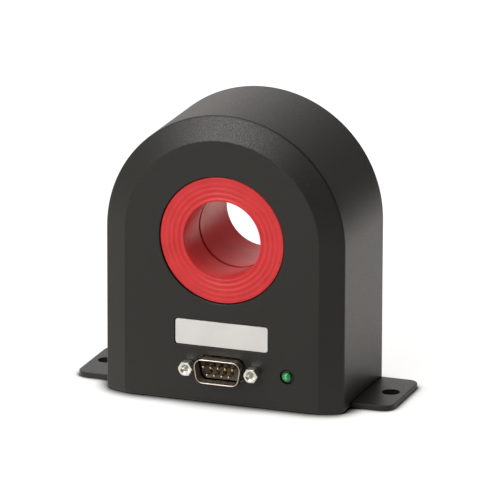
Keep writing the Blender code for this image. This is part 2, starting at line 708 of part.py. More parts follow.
def make_bushings():
    """Two flanged tubes, the front one's end sleeved over the rear one's."""
    bore = APERTURE / 2
    rim = FLANGE_DIAMETER / 2
    split = bore + (BUSHING_WALL - SIDE_GAP) / 2
    sleeve_end = SEAM_DEPTH + SLEEVE_OVERLAP
    flange_back = FLANGE_BELOW + FLANGE_THICKNESS
    profile = [(rim, FLANGE_BELOW), (rim, flange_back), (TUBE_RADIUS, flange_back)]
    profile += [(TUBE_RADIUS, sleeve_end), (split + SIDE_GAP, sleeve_end)]
    profile += [(split + SIDE_GAP, SEAM_DEPTH), (bore, SEAM_DEPTH)]
    face = ringed_face() + rounded_lip()
    profile += [(radius, FLANGE_BELOW + drop) for radius, drop in face[::-1]]
    turned("front_bushing", profile, "red_plastic", steps=BUSHING_STEPS)

    seam = SEAM_DEPTH + SEAT_GAP
    shoulder = sleeve_end + SEAT_GAP
    back = BODY_DEPTH
    profile = [(split, seam), (split, shoulder), (TUBE_RADIUS, shoulder)]
    profile += [(TUBE_RADIUS, back - FLANGE_THICKNESS), (rim, back - FLANGE_THICKNESS), (rim, back)]
    profile += [(radius, back - drop) for radius, drop in rounded_lip()]
    profile += [(bore, seam)]
    turned("rear_bushing", profile, "red_plastic", steps=BUSHING_STEPS)


def make_name_plate():
    outline = rounded(
        rectangle(NAME_PLATE_WIDTH, NAME_PLATE_HEIGHT, z=NAME_PLATE_Z), NAME_PLATE_CORNER
    )
    back = NAME_PLATE_RECESS - SEAT_GAP
    upright("name_plate", outline, back - NAME_PLATE_THICKNESS, back, "silver_plate")


def make_connector():
    outline = rounded(
        rectangle(SHELL_FLANGE_WIDTH, SHELL_FLANGE_HEIGHT, z=CONNECTOR_Z), SHELL_FLANGE_CORNER
    )
    shell = upright(
        "connector_shell", outline, SHELL_FLANGE_DEPTH, SHELL_FLANGE_BACK, "nickel_plate"
    )
    middle = (SHELL_FLANGE_DEPTH + SHELL_FLANGE_BACK) / 2
    join(shell, upright("shell_outside", connector_outline(SHELL_WALL), -SHELL_PROUD, middle))
    past = SHELL_FLANGE_BACK + SHELL_WALL
    cut(shell, upright("shell_inside", connector_outline(0.0), -SHELL_PROUD - SHELL_WALL, past))
    for side, x in (("left", -JACK_SPACING / 2), ("right", JACK_SPACING / 2)):
        hole = JACK_THREAD + 2 * SCREW_GAP
        cut(shell, drill(f"flange_hole_{side}", hole, x, CONNECTOR_Z, 0.0, past))

    block_front = SHELL_FLANGE_BACK + SEAT_GAP
    nose = connector_outline(-SIDE_GAP)
    insulator = upright("connector_insulator", nose, INSULATOR_FACE, past + SEAT_GAP, "black_plastic")
    block = rounded(
        rectangle(INSULATOR_BLOCK_WIDTH, INSULATOR_BLOCK_HEIGHT, z=CONNECTOR_Z), SHELL_FLANGE_CORNER
    )
    join(insulator, upright("insulator_block", block, block_front, INSULATOR_BACK))
    hole = PIN_DIAMETER + 2 * SIDE_GAP
    for i, (x, z) in enumerate(pin_places()):
        cut(insulator, drill(f"pin_hole_{i + 1}", hole, x, z, 0.0, BOARD_DEPTH, steps=8))


def make_pins():
    half, tail = PIN_DIAMETER / 2, PIN_TAIL / 2
    step_at = INSULATOR_BACK - INSULATOR_BLOCK_LENGTH / 2
    tail_end = BOARD_BACK + PIN_PAST_BOARD
    profile = [(0.0, -PIN_PROUD), (half * 0.5, -PIN_PROUD), (half, -PIN_PROUD + half)]
    profile += [(half, step_at), (tail, step_at), (tail, tail_end), (0.0, tail_end)]
    for i, (x, z) in enumerate(pin_places()):
        turned(f"connector_pin_{i + 1}", profile, "gold_plate", x, z, steps=8)


def make_jackscrews():
    """Hexagonal jackscrews, their studs through the connector's flange into nuts."""
    corner = 2 / math.sqrt(3)
    turn = math.radians(30.0)
    stud_end = NUT_DEPTH + NUT_THICKNESS + STUD_PAST_NUT
    for side, x in (("left", -JACK_SPACING / 2), ("right", JACK_SPACING / 2)):
        start = (x, FACE_Y - JACK_PROUD, CONNECTOR_Z)
        end = (x, FACE_Y - SEAT_GAP, CONNECTOR_Z)
        screw = rod(
            f"jackscrew_{side}", JACK_ACROSS_FLATS * corner, start, end, "zinc_steel", 6, turn
        )
        stud = drill(f"stud_{side}", JACK_THREAD, x, CONNECTOR_Z, -JACK_PROUD / 2, stud_end)
        bore_end = JACK_BORE_DEPTH - JACK_PROUD
        mouth, bore = JACK_MOUTH / 2, JACK_BORE / 2
        outside = -JACK_PROUD - mouth
        profile = [(0.0, outside), (mouth, outside), (mouth, -JACK_PROUD)]
        profile += [(bore, -JACK_PROUD + mouth - bore), (bore, bore_end), (0.0, bore_end)]
        threads = turned(f"jackscrew_bore_{side}", profile, None, x, CONNECTOR_Z, SCREW_STEPS)
        join(screw, stud)
        cut(screw, threads)

        start = (x, FACE_Y + NUT_DEPTH, CONNECTOR_Z)
        end = (x, FACE_Y + NUT_DEPTH + NUT_THICKNESS, CONNECTOR_Z)
        nut = rod(
            f"jackscrew_nut_{side}", NUT_ACROSS_CORNERS, start, end, "zinc_steel", 6, turn
        )
        hole = JACK_THREAD + 2 * SCREW_GAP
        cut(nut, drill(f"nut_hole_{side}", hole, x, CONNECTOR_Z, 0.0, stud_end))


def make_lamp():
    """A lamp whose dome stands out of the front face, on a spacer on the board."""
    lens, flange = LED_DIAMETER / 2, LED_FLANGE / 2
    profile = []
    for k in range(4):
        turn = math.radians(30.0 * k)
        profile.append((lens * math.sin(turn), lens * (1 - math.cos(turn)) - LED_PROUD))
    back = LED_LENGTH - LED_PROUD
    flange_at = back - LED_FLANGE_THICKNESS
    profile += [(lens, flange_at), (flange, flange_at), (flange, back), (0.0, back)]
    lamp = turned("status_led", profile, "green_lens", LED_X, LED_Z, steps=16)
    for side, offset in (("left", -LED_LEG_PITCH / 2), ("right", LED_LEG_PITCH / 2)):
        start, end = back - LED_LEG, BOARD_BACK + PIN_PAST_BOARD
        low, high = across(start, end, LED_X + offset, LED_Z, LED_LEG / 2, LED_LEG / 2)
        join(lamp, box(f"led_leg_{side}", low, high))

    inside = math.hypot(LED_LEG_PITCH / 2 + LED_LEG / 2, LED_LEG / 2) + SIDE_GAP
    front, back = back + SEAT_GAP, BOARD_DEPTH - SEAT_GAP
    profile = [(LED_SPACER / 2, front), (LED_SPACER / 2, back), (inside, back), (inside, front)]
    turned("led_spacer", profile, "black_plastic", LED_X, LED_Z, steps=16)


def make_main_board():
    height = BOARD_TOP - BOARD_FOOT
    outline = rounded(rectangle(2 * BOARD_HALF, height, z=BOARD_FOOT + height / 2), MM, steps=3)
    board = upright("main_board", outline, BOARD_DEPTH, BOARD_BACK, "green_board")
    past = BOARD_THICKNESS
    for i, (x, z) in enumerate(pin_places()):
        hole = PIN_TAIL + 2 * SIDE_GAP
        cut(board, drill(f"pin_land_{i + 1}", hole, x, z, BOARD_DEPTH - past, BOARD_BACK + past, 8))
    for i, offset in enumerate((-LED_LEG_PITCH / 2, LED_LEG_PITCH / 2)):
        hole = LED_LEG * math.sqrt(2) + 2 * SIDE_GAP
        x = LED_X + offset
        cut(board, drill(f"led_land_{i + 1}", hole, x, LED_Z, BOARD_DEPTH - past, BOARD_BACK + past, 8))
    for i, (x, z) in enumerate(board_screw_places()):
        low, high = BOARD_DEPTH - past, BOARD_BACK + past
        cut(board, drill(f"board_hole_{i + 1}", BOARD_SCREW_HOLE, x, z, low, high))
    return board


def screw_source(profile):
    """A screw turned about its local Z, its head on top with a hexagon socket."""
    source = turned("screw_source", profile, None, steps=SCREW_STEPS)
    source.matrix_world = Matrix.Identity(4)
    top = -profile[0][1]
    corner = 2 / math.sqrt(3)
    start, end = (0, 0, top - M3_SOCKET_DEPTH), (0, 0, top + M3_SOCKET_DEPTH)
    cut(source, rod("screw_socket", M3_SOCKET * corner, start, end, steps=6))
    bpy.context.view_layer.update()
    mesh = settled(source)
    mesh.materials.clear()
    mesh.materials.append(material("zinc_steel"))
    return mesh


def place_screw(name, mesh, place_at):
    made = bpy.data.objects.new(name, mesh)
    collection("fluxgate_current_transducer").objects.link(made)
    made.matrix_world = place_at
    return made


def make_screws():
    head, shank = M3_HEAD / 2, M3_SHANK / 2

    def flush_profile(length):
        profile = [(0.0, HEAD_BELOW), (head, HEAD_BELOW), (head, HEAD_BELOW + HEAD_EDGE)]
        return profile + [(shank, M3_HEAD_HEIGHT), (shank, length), (0.0, length)]

    cover_screw = screw_source(flush_profile(COVER_SCREW_LENGTH))
    for i, (x, z) in enumerate(boss_places()):
        place_screw(f"cover_screw_{i + 1}", cover_screw, from_back(x, z, BODY_DEPTH))
    base_screw = screw_source(flush_profile(BASE_SCREW_LENGTH))
    for i, (x, y) in enumerate(base_screw_places()):
        place_screw(f"base_screw_{i + 1}", base_screw, from_below(x, y))

    head, shank = BOARD_SCREW_HEAD / 2, BOARD_SCREW_SHANK / 2
    profile = [(0.0, -BOARD_SCREW_HEAD_HEIGHT), (head, -BOARD_SCREW_HEAD_HEIGHT), (head, 0.0)]
    profile += [(shank, 0.0), (shank, BOARD_SCREW_LENGTH), (0.0, BOARD_SCREW_LENGTH)]
    board_screw = screw_source(profile)
    for i, (x, z) in enumerate(board_screw_places()):
        place_screw(f"board_screw_{i + 1}", board_screw, from_back(x, z, BOARD_BACK + SEAT_GAP))


def make_winding(name, inner, outer, low_depth, high_depth, wall, opening):
    """A wound hollow ring round its cores, open at the bottom where its leads come out."""
    winding = ring(name, inner, outer, low_depth, high_depth, "copper_wire")
    hollow = ring(name + "_hollow", inner + wall, outer - wall, low_depth + wall, high_depth - wall)
    past = RING_INNER / 2
    low = (-opening / 2, FACE_Y + low_depth - wall, BORE_HEIGHT - outer - past)
    high = (opening / 2, FACE_Y + high_depth + wall, BORE_HEIGHT - inner + past)
    return cut(winding, hollow, box(name + "_opening", low, high))


def make_ring_stack():
    make_winding(
        "compensation_winding", RING_INNER, RING_OUTER, RING_FRONT, RING_BACK, WINDING_WALL, WINDING_OPENING
    )
    inner = RING_INNER + WINDING_WALL + SEAT_GAP
    outer = RING_OUTER - WINDING_WALL - SEAT_GAP
    front = RING_FRONT + WINDING_WALL + SEAT_GAP
    middle = front + EXCITATION_LENGTH + SEAT_GAP
    back = middle + FEEDBACK_CORE_THICKNESS + SEAT_GAP
    ring("feedback_core", inner, outer, middle, middle + FEEDBACK_CORE_THICKNESS, "core_tape")
    skin = EXCITATION_WALL + SEAT_GAP
    for side, depth in (("front", front), ("rear", back)):
        winding_inner, winding_outer = inner + SENSE_CORE_INSET, outer - SENSE_CORE_INSET
        ring(
            f"fluxgate_core_{side}",
            winding_inner + skin,
            winding_outer - skin,
            depth + skin,
            depth + EXCITATION_LENGTH - skin,
            "core_tape",
        )
        make_winding(
            f"excitation_winding_{side}",
            winding_inner,
            winding_outer,
            depth,
            depth + EXCITATION_LENGTH,
            EXCITATION_WALL,
            EXCITATION_OPENING,
        )
    spacer = RING_INNER + SPACER_RING_WALL
    ring("front_spacer_ring", RING_INNER, spacer, WALL + SEAT_GAP, RING_FRONT - SEAT_GAP, "grey_foam")
    cover = BODY_DEPTH - COVER_THICKNESS
    ring("rear_spacer_ring", RING_INNER, spacer, RING_BACK + SEAT_GAP, cover - SEAT_GAP, "grey_foam")


def make_leads():
    """Wires from under the winding forward to the board."""
    radius = LEAD_DIAMETER / 2
    beside_shunt = SHUNT_SIZE[0] / 2 + PART_GAP + radius
    for side, x in (("left", -beside_shunt), ("right", beside_shunt)):
        drop = RING_OUTER - math.sqrt(RING_OUTER**2 - x**2)
        top = BORE_HEIGHT - RING_OUTER + drop - SEAT_GAP - radius
        start = FACE_Y + RING_FRONT + WINDING_WALL
        end = FACE_Y + BOARD_BACK + SEAT_GAP
        curve = bpy.data.curves.new(f"winding_lead_{side}", "CURVE")
        curve.dimensions = "3D"
        curve.bevel_depth = radius
        curve.bevel_resolution = 1
        curve.use_fill_caps = True
        spline = curve.splines.new("POLY")
        spline.points.add(LEAD_RUNS)
        for k, point in enumerate(spline.points):
            share = k / LEAD_RUNS
            sag = LEAD_SAG * math.sin(math.pi * share)
            point.co = (x, start + (end - start) * share, top - sag, 1.0)
        curve.materials.append(material("wire_jacket"))
        lead = bpy.data.objects.new(f"winding_lead_{side}", curve)
        collection("fluxgate_current_transducer").objects.link(lead)


def make_electronics():
    rear = BOARD_BACK + SEAT_GAP
    left = -BOARD_HALF + PART_EDGE
    above_screws = BOARD_FOOT + BOARD_SCREW_INSET + BOARD_SCREW_HEAD / 2 + PART_GAP
    radius = CAPACITOR_DIAMETER / 2
    for i in range(2):
        x = left + radius + i * CAPACITOR_PITCH
        z = above_screws + radius
        start, end = (x, FACE_Y + rear, z), (x, FACE_Y + rear + CAPACITOR_LENGTH, z)
        rod(f"filter_capacitor_{i + 1}", CAPACITOR_DIAMETER, start, end, "blue_sleeve", 20)

    width, length, height = CONVERTER_SIZE
    foot = above_screws + CAPACITOR_DIAMETER + PART_GAP
    low, high = across(rear, rear + length, left + width / 2, foot + height / 2, width / 2, height / 2)
    box("dc_converter", low, high, "black_plastic")

    width, length, height = SHUNT_SIZE
    foot = CONNECTOR_Z + PIN_ROW_PITCH / 2 + SHUNT_ABOVE_PINS
    low, high = across(rear, rear + length, 0.0, foot + height / 2, width / 2, height / 2)
    box("shunt_resistor", low, high, "black_plastic")

    width, length, height = CHIP_SIZE
    front = BOARD_DEPTH - SEAT_GAP
    low, high = across(front - length, front, CHIP_X, CHIP_Z, width / 2, height / 2)
    box("controller_chip", low, high, "black_plastic")

    right = BOARD_HALF - BOARD_SCREW_INSET - BOARD_SCREW_HEAD / 2 - PART_GAP
    front = BOARD_BACK + AMPLIFIER_FROM_BOARD
    for i in range(2):
        make_amplifier(i + 1, right - AMPLIFIER_WIDTH / 2 - i * AMPLIFIER_PITCH, front)
    floor = FLOOR_WALL + SEAT_GAP
    left = right - AMPLIFIER_WIDTH - AMPLIFIER_PITCH
    back = front + AMPLIFIER_BODY + AMPLIFIER_TAB + SPREADER_MARGIN
    low = (left, FACE_Y + front - SPREADER_MARGIN, floor)
    high = (right, FACE_Y + back, floor + SPREADER_THICKNESS)
    box("heat_spreader", low, high, "bare_aluminium")


def make_amplifier(number, x, front):
    """A power package on its back: moulded body, metal tab behind it, and three legs to the board."""
    foot = FLOOR_WALL + SPREADER_THICKNESS + 2 * SEAT_GAP
    back = front + AMPLIFIER_BODY
    half = AMPLIFIER_WIDTH / 2
    low = (x - half, FACE_Y + front, foot)
    high = (x + half, FACE_Y + back, foot + AMPLIFIER_THICKNESS)
    amplifier = box(f"output_amplifier_{number}", low, high, "black_plastic")
    half = AMPLIFIER_TAB_WIDTH / 2
    tab_foot = foot + AMPLIFIER_TAB_STEP
    low = (x - half, FACE_Y + back - AMPLIFIER_TAB_THICKNESS, tab_foot)
    high = (x + half, FACE_Y + back + AMPLIFIER_TAB, tab_foot + AMPLIFIER_TAB_THICKNESS)
    join(amplifier, box(f"amplifier_tab_{number}", low, high))
    leg = AMPLIFIER_LEG / 2
    z = foot + AMPLIFIER_THICKNESS / 2
    for k in range(3):
        leg_x = x + (k - 1) * AMPLIFIER_LEG_PITCH
        low, high = across(BOARD_BACK + SEAT_GAP, front + AMPLIFIER_LEG, leg_x, z, leg, leg)
        join(amplifier, box(f"amplifier_leg_{number}_{k + 1}", low, high))


def clear_scene():
    for existing in list(bpy.data.objects):
        bpy.data.objects.remove(existing)


def main():
    clear_scene()
    make_housing()
    make_back_cover()
    make_mounting_plate()
    make_bushings()
    make_name_plate()
    make_connector()
    make_pins()
    make_jackscrews()
    make_lamp()
    make_main_board()
    make_screws()
    make_ring_stack()
    make_leads()
    make_electronics()


main()
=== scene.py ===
import math

import bmesh
import bpy
from mathutils import Matrix, Vector


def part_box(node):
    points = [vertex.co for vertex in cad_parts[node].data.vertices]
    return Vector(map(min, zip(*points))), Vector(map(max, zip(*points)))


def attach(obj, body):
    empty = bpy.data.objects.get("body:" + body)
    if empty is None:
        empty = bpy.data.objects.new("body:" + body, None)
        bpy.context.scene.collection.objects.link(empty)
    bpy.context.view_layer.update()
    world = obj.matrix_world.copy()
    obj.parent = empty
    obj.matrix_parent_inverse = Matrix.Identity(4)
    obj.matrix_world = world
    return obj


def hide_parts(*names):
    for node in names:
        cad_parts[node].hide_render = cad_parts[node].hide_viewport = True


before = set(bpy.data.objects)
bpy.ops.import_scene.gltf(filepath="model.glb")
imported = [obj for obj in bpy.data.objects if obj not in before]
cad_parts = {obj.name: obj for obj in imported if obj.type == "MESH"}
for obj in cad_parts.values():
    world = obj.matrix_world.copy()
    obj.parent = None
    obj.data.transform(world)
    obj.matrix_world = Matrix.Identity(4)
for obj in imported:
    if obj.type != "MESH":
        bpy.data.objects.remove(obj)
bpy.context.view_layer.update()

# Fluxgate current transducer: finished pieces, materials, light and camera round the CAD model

mm = 0.001
clearance = 0.3 * mm  # between pieces that touch on the real object
noiseSpan = (0.3, 0.7)  # where most of a noise's values lie
flatFaceWeight = 80  # how strongly large faces hold their smooth shading flat
mergeReach = 0.0005 * mm  # points nearer than this become one
scene = bpy.context.scene


# Places read from the CAD model

def numbered(nodeName, count):
    return [f"{nodeName}_{i + 1}" for i in range(count)]


def middles(nodeNames):  # the middle of each node's box
    return [[(low + high) / 2 for low, high in zip(*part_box(name))] for name in nodeNames]


housingLow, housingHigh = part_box("housing_shell")
plateLow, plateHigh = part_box("mounting_plate")
coverLow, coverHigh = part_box("back_cover")
nameLow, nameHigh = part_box("name_plate")
shellLow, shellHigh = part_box("connector_shell")
insulatorLow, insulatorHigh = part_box("connector_insulator")
jackLow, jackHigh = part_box("jackscrew_right")
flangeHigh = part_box("front_bushing")[1]
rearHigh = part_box("rear_bushing")[1]
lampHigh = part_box("status_led")[1]

pinNames = numbered("connector_pin", 9)
coverScrewNames = numbered("cover_screw", 6)
baseScrewNames = numbered("base_screw", 4)
faceY = housingLow.y
backY = housingHigh.y
halfWidth = housingHigh.x
archZ = housingHigh.z - halfWidth
nameWidth, nameHeight = nameHigh.x - nameLow.x, nameHigh.z - nameLow.z
nameZ = (nameLow.z + nameHigh.z) / 2
shellWidth, shellHeight = shellHigh.x - shellLow.x, shellHigh.z - shellLow.z
connectorZ = (shellLow.z + shellHigh.z) / 2
jackOffset = (jackLow.x + jackHigh.x) / 2
lampX, _, lampZ = middles(["status_led"])[0]


# Colours and nodes

def srgb(hexCode):  # sRGB hex to the linear values that a shader takes
    values = [int(hexCode[i:i + 2], 16) / 255 for i in (1, 3, 5)]
    return [v / 12.92 if v <= 0.04045 else ((v + 0.055) / 1.055) ** 2.4 for v in values] + [1.0]


# Adds one node to a tree. Settings are its attributes; inputs are sockets to link or plain values.
def addNode(tree, kind, settings=None, inputs=None):
    node = tree.nodes.new(kind)
    for key, value in (settings or {}).items():
        setattr(node, key, value)
    for key, value in (inputs or {}).items():
        if isinstance(value, bpy.types.NodeSocket):
            tree.links.new(value, node.inputs[key])
        else:
            node.inputs[key].default_value = value
    return node


def startMaterial(name):  # an empty material, its tree and the object's own coordinates
    made = bpy.data.materials.new(name)
    made.use_nodes = True
    tree = made.node_tree
    tree.nodes.clear()
    place = tree.nodes.new("ShaderNodeTexCoord").outputs["Object"]
    return made, tree, place


def endMaterial(tree, shader):
    addNode(tree, "ShaderNodeOutputMaterial", inputs={"Surface": shader.outputs[0]})


def rampColours(ramp, stops):
    elements = ramp.color_ramp.elements
    while len(elements) < len(stops):
        elements.new(0.5)
    for element, (position, colour) in zip(elements, stops):
        element.position = position
        element.color = srgb(colour)


# How most surfaces start: a noise of a real size, and a roughness that follows it
def grainNodes(tree, vector, size, roughness, detail=3.0, unevenness=0.6):
    grain = addNode(tree, "ShaderNodeTexNoise", inputs={
        "Vector": vector, "Scale": 1 / size, "Detail": detail, "Roughness": unevenness})
    rough = addNode(tree, "ShaderNodeMapRange", inputs={
        "Value": grain.outputs["Fac"], "From Min": noiseSpan[0], "From Max": noiseSpan[1],
        "To Min": roughness[0], "To Max": roughness[1]})
    return grain.outputs["Fac"], rough.outputs["Result"]


# Materials

# Powder coat on the aluminium housing: near black, satin, with a fine even grain that breaks up
# the reflections into speckles. The real grain is 0.2 to 0.4 mm, drawn a little coarser to show.
powderCoat = {
    "colour": "#0f100c",
    "colourWorn": "#161611",
    "ior": 1.48,
    "roughness": (0.36, 0.50),
    "grain": 0.45 * mm,
    "grainHeight": 0.043 * mm,
    "holeAxis": 55.0 * mm,  # from the middle to each ear hole
    "holeReach": (3.27 * mm, 3.30 * mm),
    "colourHoleShade": "#050504",  # their walls: near black painted shade, as the deep holes get little light, and dead matt
}


def makePowderCoat(name, look):
    made, tree, place = startMaterial(name)
    grain, rough = grainNodes(tree, place, look["grain"], look["roughness"], 2.0, 0.55)
    tint = addNode(tree, "ShaderNodeValToRGB", inputs={"Fac": grain})
    rampColours(tint, [(0.35, look["colour"]), (0.75, look["colourWorn"])])
    bump = addNode(tree, "ShaderNodeBump", inputs={
        "Height": grain, "Distance": look["grainHeight"], "Strength": 1.0})
    flat = addNode(tree, "ShaderNodeVectorMath", {"operation": "MULTIPLY"}, {
        0: place, 1: (1.0, 1.0, 0.0)})
    either = addNode(tree, "ShaderNodeVectorMath", {"operation": "ABSOLUTE"}, {0: flat.outputs[0]})
    fromAxis = addNode(tree, "ShaderNodeVectorMath", {"operation": "DISTANCE"}, {
        0: either.outputs[0], 1: (look["holeAxis"], 0.0, 0.0)})
    inShadedHole = addNode(tree, "ShaderNodeMapRange", inputs={
        "Value": fromAxis.outputs["Value"], "From Min": look["holeReach"][0],
        "From Max": look["holeReach"][1], "To Min": 1.0, "To Max": 0.0})
    # the ear holes' walls take a near black painted shade
    colour = addNode(tree, "ShaderNodeMix", {"data_type": "RGBA"}, {
        0: inShadedHole.outputs["Result"], 6: tint.outputs["Color"], 7: srgb(look["colourHoleShade"])})
    matt = addNode(tree, "ShaderNodeMath", {"operation": "MAXIMUM"}, {
        0: rough, 1: inShadedHole.outputs["Result"]})
    shader = addNode(tree, "ShaderNodeBsdfPrincipled", inputs={
        "Base Color": colour.outputs[2], "Roughness": matt.outputs[0],
        "IOR": look["ior"], "Normal": bump.outputs["Normal"]})
    endMaterial(tree, shader)
    return made


# Red acetal, turned on a lathe: bright red, half glossy, with fine tool marks that run round the
# aperture and stretch each reflection into a streak across them. The real marks lie 0.1 to 0.2 mm
# apart, and are drawn coarser to show.
turnedAcetal = {
    "colour": "#c83033",
    "colourDeep": "#bc292c",
    "colourBore": "#d3262a",
    "colourBoreDeep": "#c92125",
    # painted shade in the groove where the front and rear tubes meet
    "colourSeamShade": "#8e0b10",
    "shine": 0.38,
    "ior": 1.45,
    "roughness": (0.34, 0.48),
    "toolStep": 0.38 * mm,
    "toolDepth": 0.030 * mm,
    "faceShare": 0.12,  # the face is finished finer than the bore
    "boreStarts": (1.2 * mm, 3.0 * mm),  # depths between which the face's look turns into the bore's
    "cloud": 9.0 * mm,
    "seamDepth": 16.95 * mm,
    "seamHalf": 1.0 * mm,
    "scatter": 0.08,
    "scatterReach": (0.6 * mm, 0.15 * mm, 0.1 * mm),
}


def makeTurnedAcetal(name, look, axisHeight):
    made, tree, place = startMaterial(name)
    centred = addNode(tree, "ShaderNodeVectorMath", {"operation": "SUBTRACT"}, {
        0: place, 1: (0.0, 0.0, axisHeight)})
    parts = addNode(tree, "ShaderNodeSeparateXYZ", inputs={0: centred.outputs[0]})
    across = addNode(tree, "ShaderNodeCombineXYZ", inputs={0: parts.outputs[0], 1: parts.outputs[2]})
    radius = addNode(tree, "ShaderNodeVectorMath", {"operation": "LENGTH"}, {0: across.outputs[0]})
    turn = addNode(tree, "ShaderNodeMath", {"operation": "ARCTAN2"}, {
        0: parts.outputs[2], 1: parts.outputs[0]})
    turnShift = addNode(tree, "ShaderNodeMath", {"operation": "MULTIPLY"}, {
        0: turn.outputs[0], 1: look["toolStep"] / 3})
    lathe = addNode(tree, "ShaderNodeCombineXYZ", inputs={
        0: radius.outputs["Value"], 1: parts.outputs[1], 2: turnShift.outputs[0]})
    marks, rough = grainNodes(tree, lathe.outputs[0], look["toolStep"], look["roughness"])
    cloud = addNode(tree, "ShaderNodeTexNoise", inputs={
        "Vector": place, "Scale": 1 / look["cloud"], "Detail": 2.0})
    tint = addNode(tree, "ShaderNodeValToRGB", inputs={"Fac": cloud.outputs["Fac"]})
    rampColours(tint, [(0.25, look["colourDeep"]), (0.55, look["colour"])])
    depth = addNode(tree, "ShaderNodeMath", {"operation": "SUBTRACT"}, {0: parts.outputs[1], 1: faceY})
    inBore = addNode(tree, "ShaderNodeMapRange", inputs={
        "Value": depth.outputs[0], "From Min": look["boreStarts"][0],
        "From Max": look["boreStarts"][1]})
    boreTint = addNode(tree, "ShaderNodeValToRGB", inputs={"Fac": cloud.outputs["Fac"]})
    rampColours(boreTint, [(0.25, look["colourBoreDeep"]), (0.55, look["colourBore"])])
    colour = addNode(tree, "ShaderNodeMix", {"data_type": "RGBA"}, {
        0: inBore.outputs["Result"], 6: tint.outputs["Color"], 7: boreTint.outputs["Color"]})
    coarse = addNode(tree, "ShaderNodeMapRange", inputs={
        "Value": inBore.outputs["Result"], "To Min": look["faceShare"], "To Max": 1.0})
    height = addNode(tree, "ShaderNodeMath", {"operation": "MULTIPLY"}, {
        0: marks, 1: coarse.outputs["Result"]})
    fromSeam = addNode(tree, "ShaderNodeMath", {"operation": "SUBTRACT"}, {
        0: depth.outputs[0], 1: look["seamDepth"]})
    fromSeam = addNode(tree, "ShaderNodeMath", {"operation": "ABSOLUTE"}, {0: fromSeam.outputs[0]})
    seamShadeMask = addNode(tree, "ShaderNodeMapRange", inputs={  # painted shade in the groove where the two tubes meet
        "Value": fromSeam.outputs[0], "From Min": look["seamHalf"] * 0.5, "From Max": look["seamHalf"],
        "To Min": 1.0, "To Max": 0.0})
    withSeamShade = addNode(tree, "ShaderNodeMix", {"data_type": "RGBA"}, {
        0: seamShadeMask.outputs["Result"], 6: colour.outputs[2], 7: srgb(look["colourSeamShade"])})
    matt = addNode(tree, "ShaderNodeMath", {"operation": "MAXIMUM"}, {
        0: rough, 1: seamShadeMask.outputs["Result"]})
    bump = addNode(tree, "ShaderNodeBump", inputs={
        "Height": height.outputs[0], "Distance": look["toolDepth"], "Strength": 1.0})
    shader = addNode(tree, "ShaderNodeBsdfPrincipled", inputs={
        "Base Color": withSeamShade.outputs[2], "Roughness": matt.outputs[0], "IOR": look["ior"],
        "Specular IOR Level": look["shine"], "Subsurface Weight": look["scatter"],
        "Subsurface Radius": look["scatterReach"], "Normal": bump.outputs["Normal"]})
    endMaterial(tree, shader)
    return made


# Plated or bare metals and plain mouldings share one build: a tint and a roughness that vary with
# a noise, which a stretch turns into brushing, drawing or rolling marks, and a shallow bump.
def makeSurface(name, look):
    made, tree, place = startMaterial(name)
    mapped = addNode(tree, "ShaderNodeMapping", inputs={
        "Vector": place, "Scale": look.get("stretch", (1.0, 1.0, 1.0))})
    grain, rough = grainNodes(tree, mapped.outputs[0], look["grain"], look["roughness"])
    cloud = addNode(tree, "ShaderNodeTexNoise", inputs={
        "Vector": place, "Scale": 1 / look["cloud"], "Detail": 2.0})
    tint = addNode(tree, "ShaderNodeValToRGB", inputs={"Fac": cloud.outputs["Fac"]})
    rampColours(tint, list(zip(noiseSpan, look["colours"])))
    bump = addNode(tree, "ShaderNodeBump", inputs={
        "Height": grain, "Distance": look["height"], "Strength": 1.0})
    inputs = {
        "Base Color": tint.outputs["Color"], "Roughness": rough,
        "Metallic": look.get("metallic", 0.0), "Normal": bump.outputs["Normal"]}
    if not look.get("metallic"):
        inputs["IOR"] = look.get("ior", 1.5)
    if "coat" in look:
        inputs["Coat Weight"] = look["coat"]
        inputs["Coat Roughness"] = look["coatRoughness"]
    shader = addNode(tree, "ShaderNodeBsdfPrincipled", inputs=inputs)
    endMaterial(tree, shader)
    return made


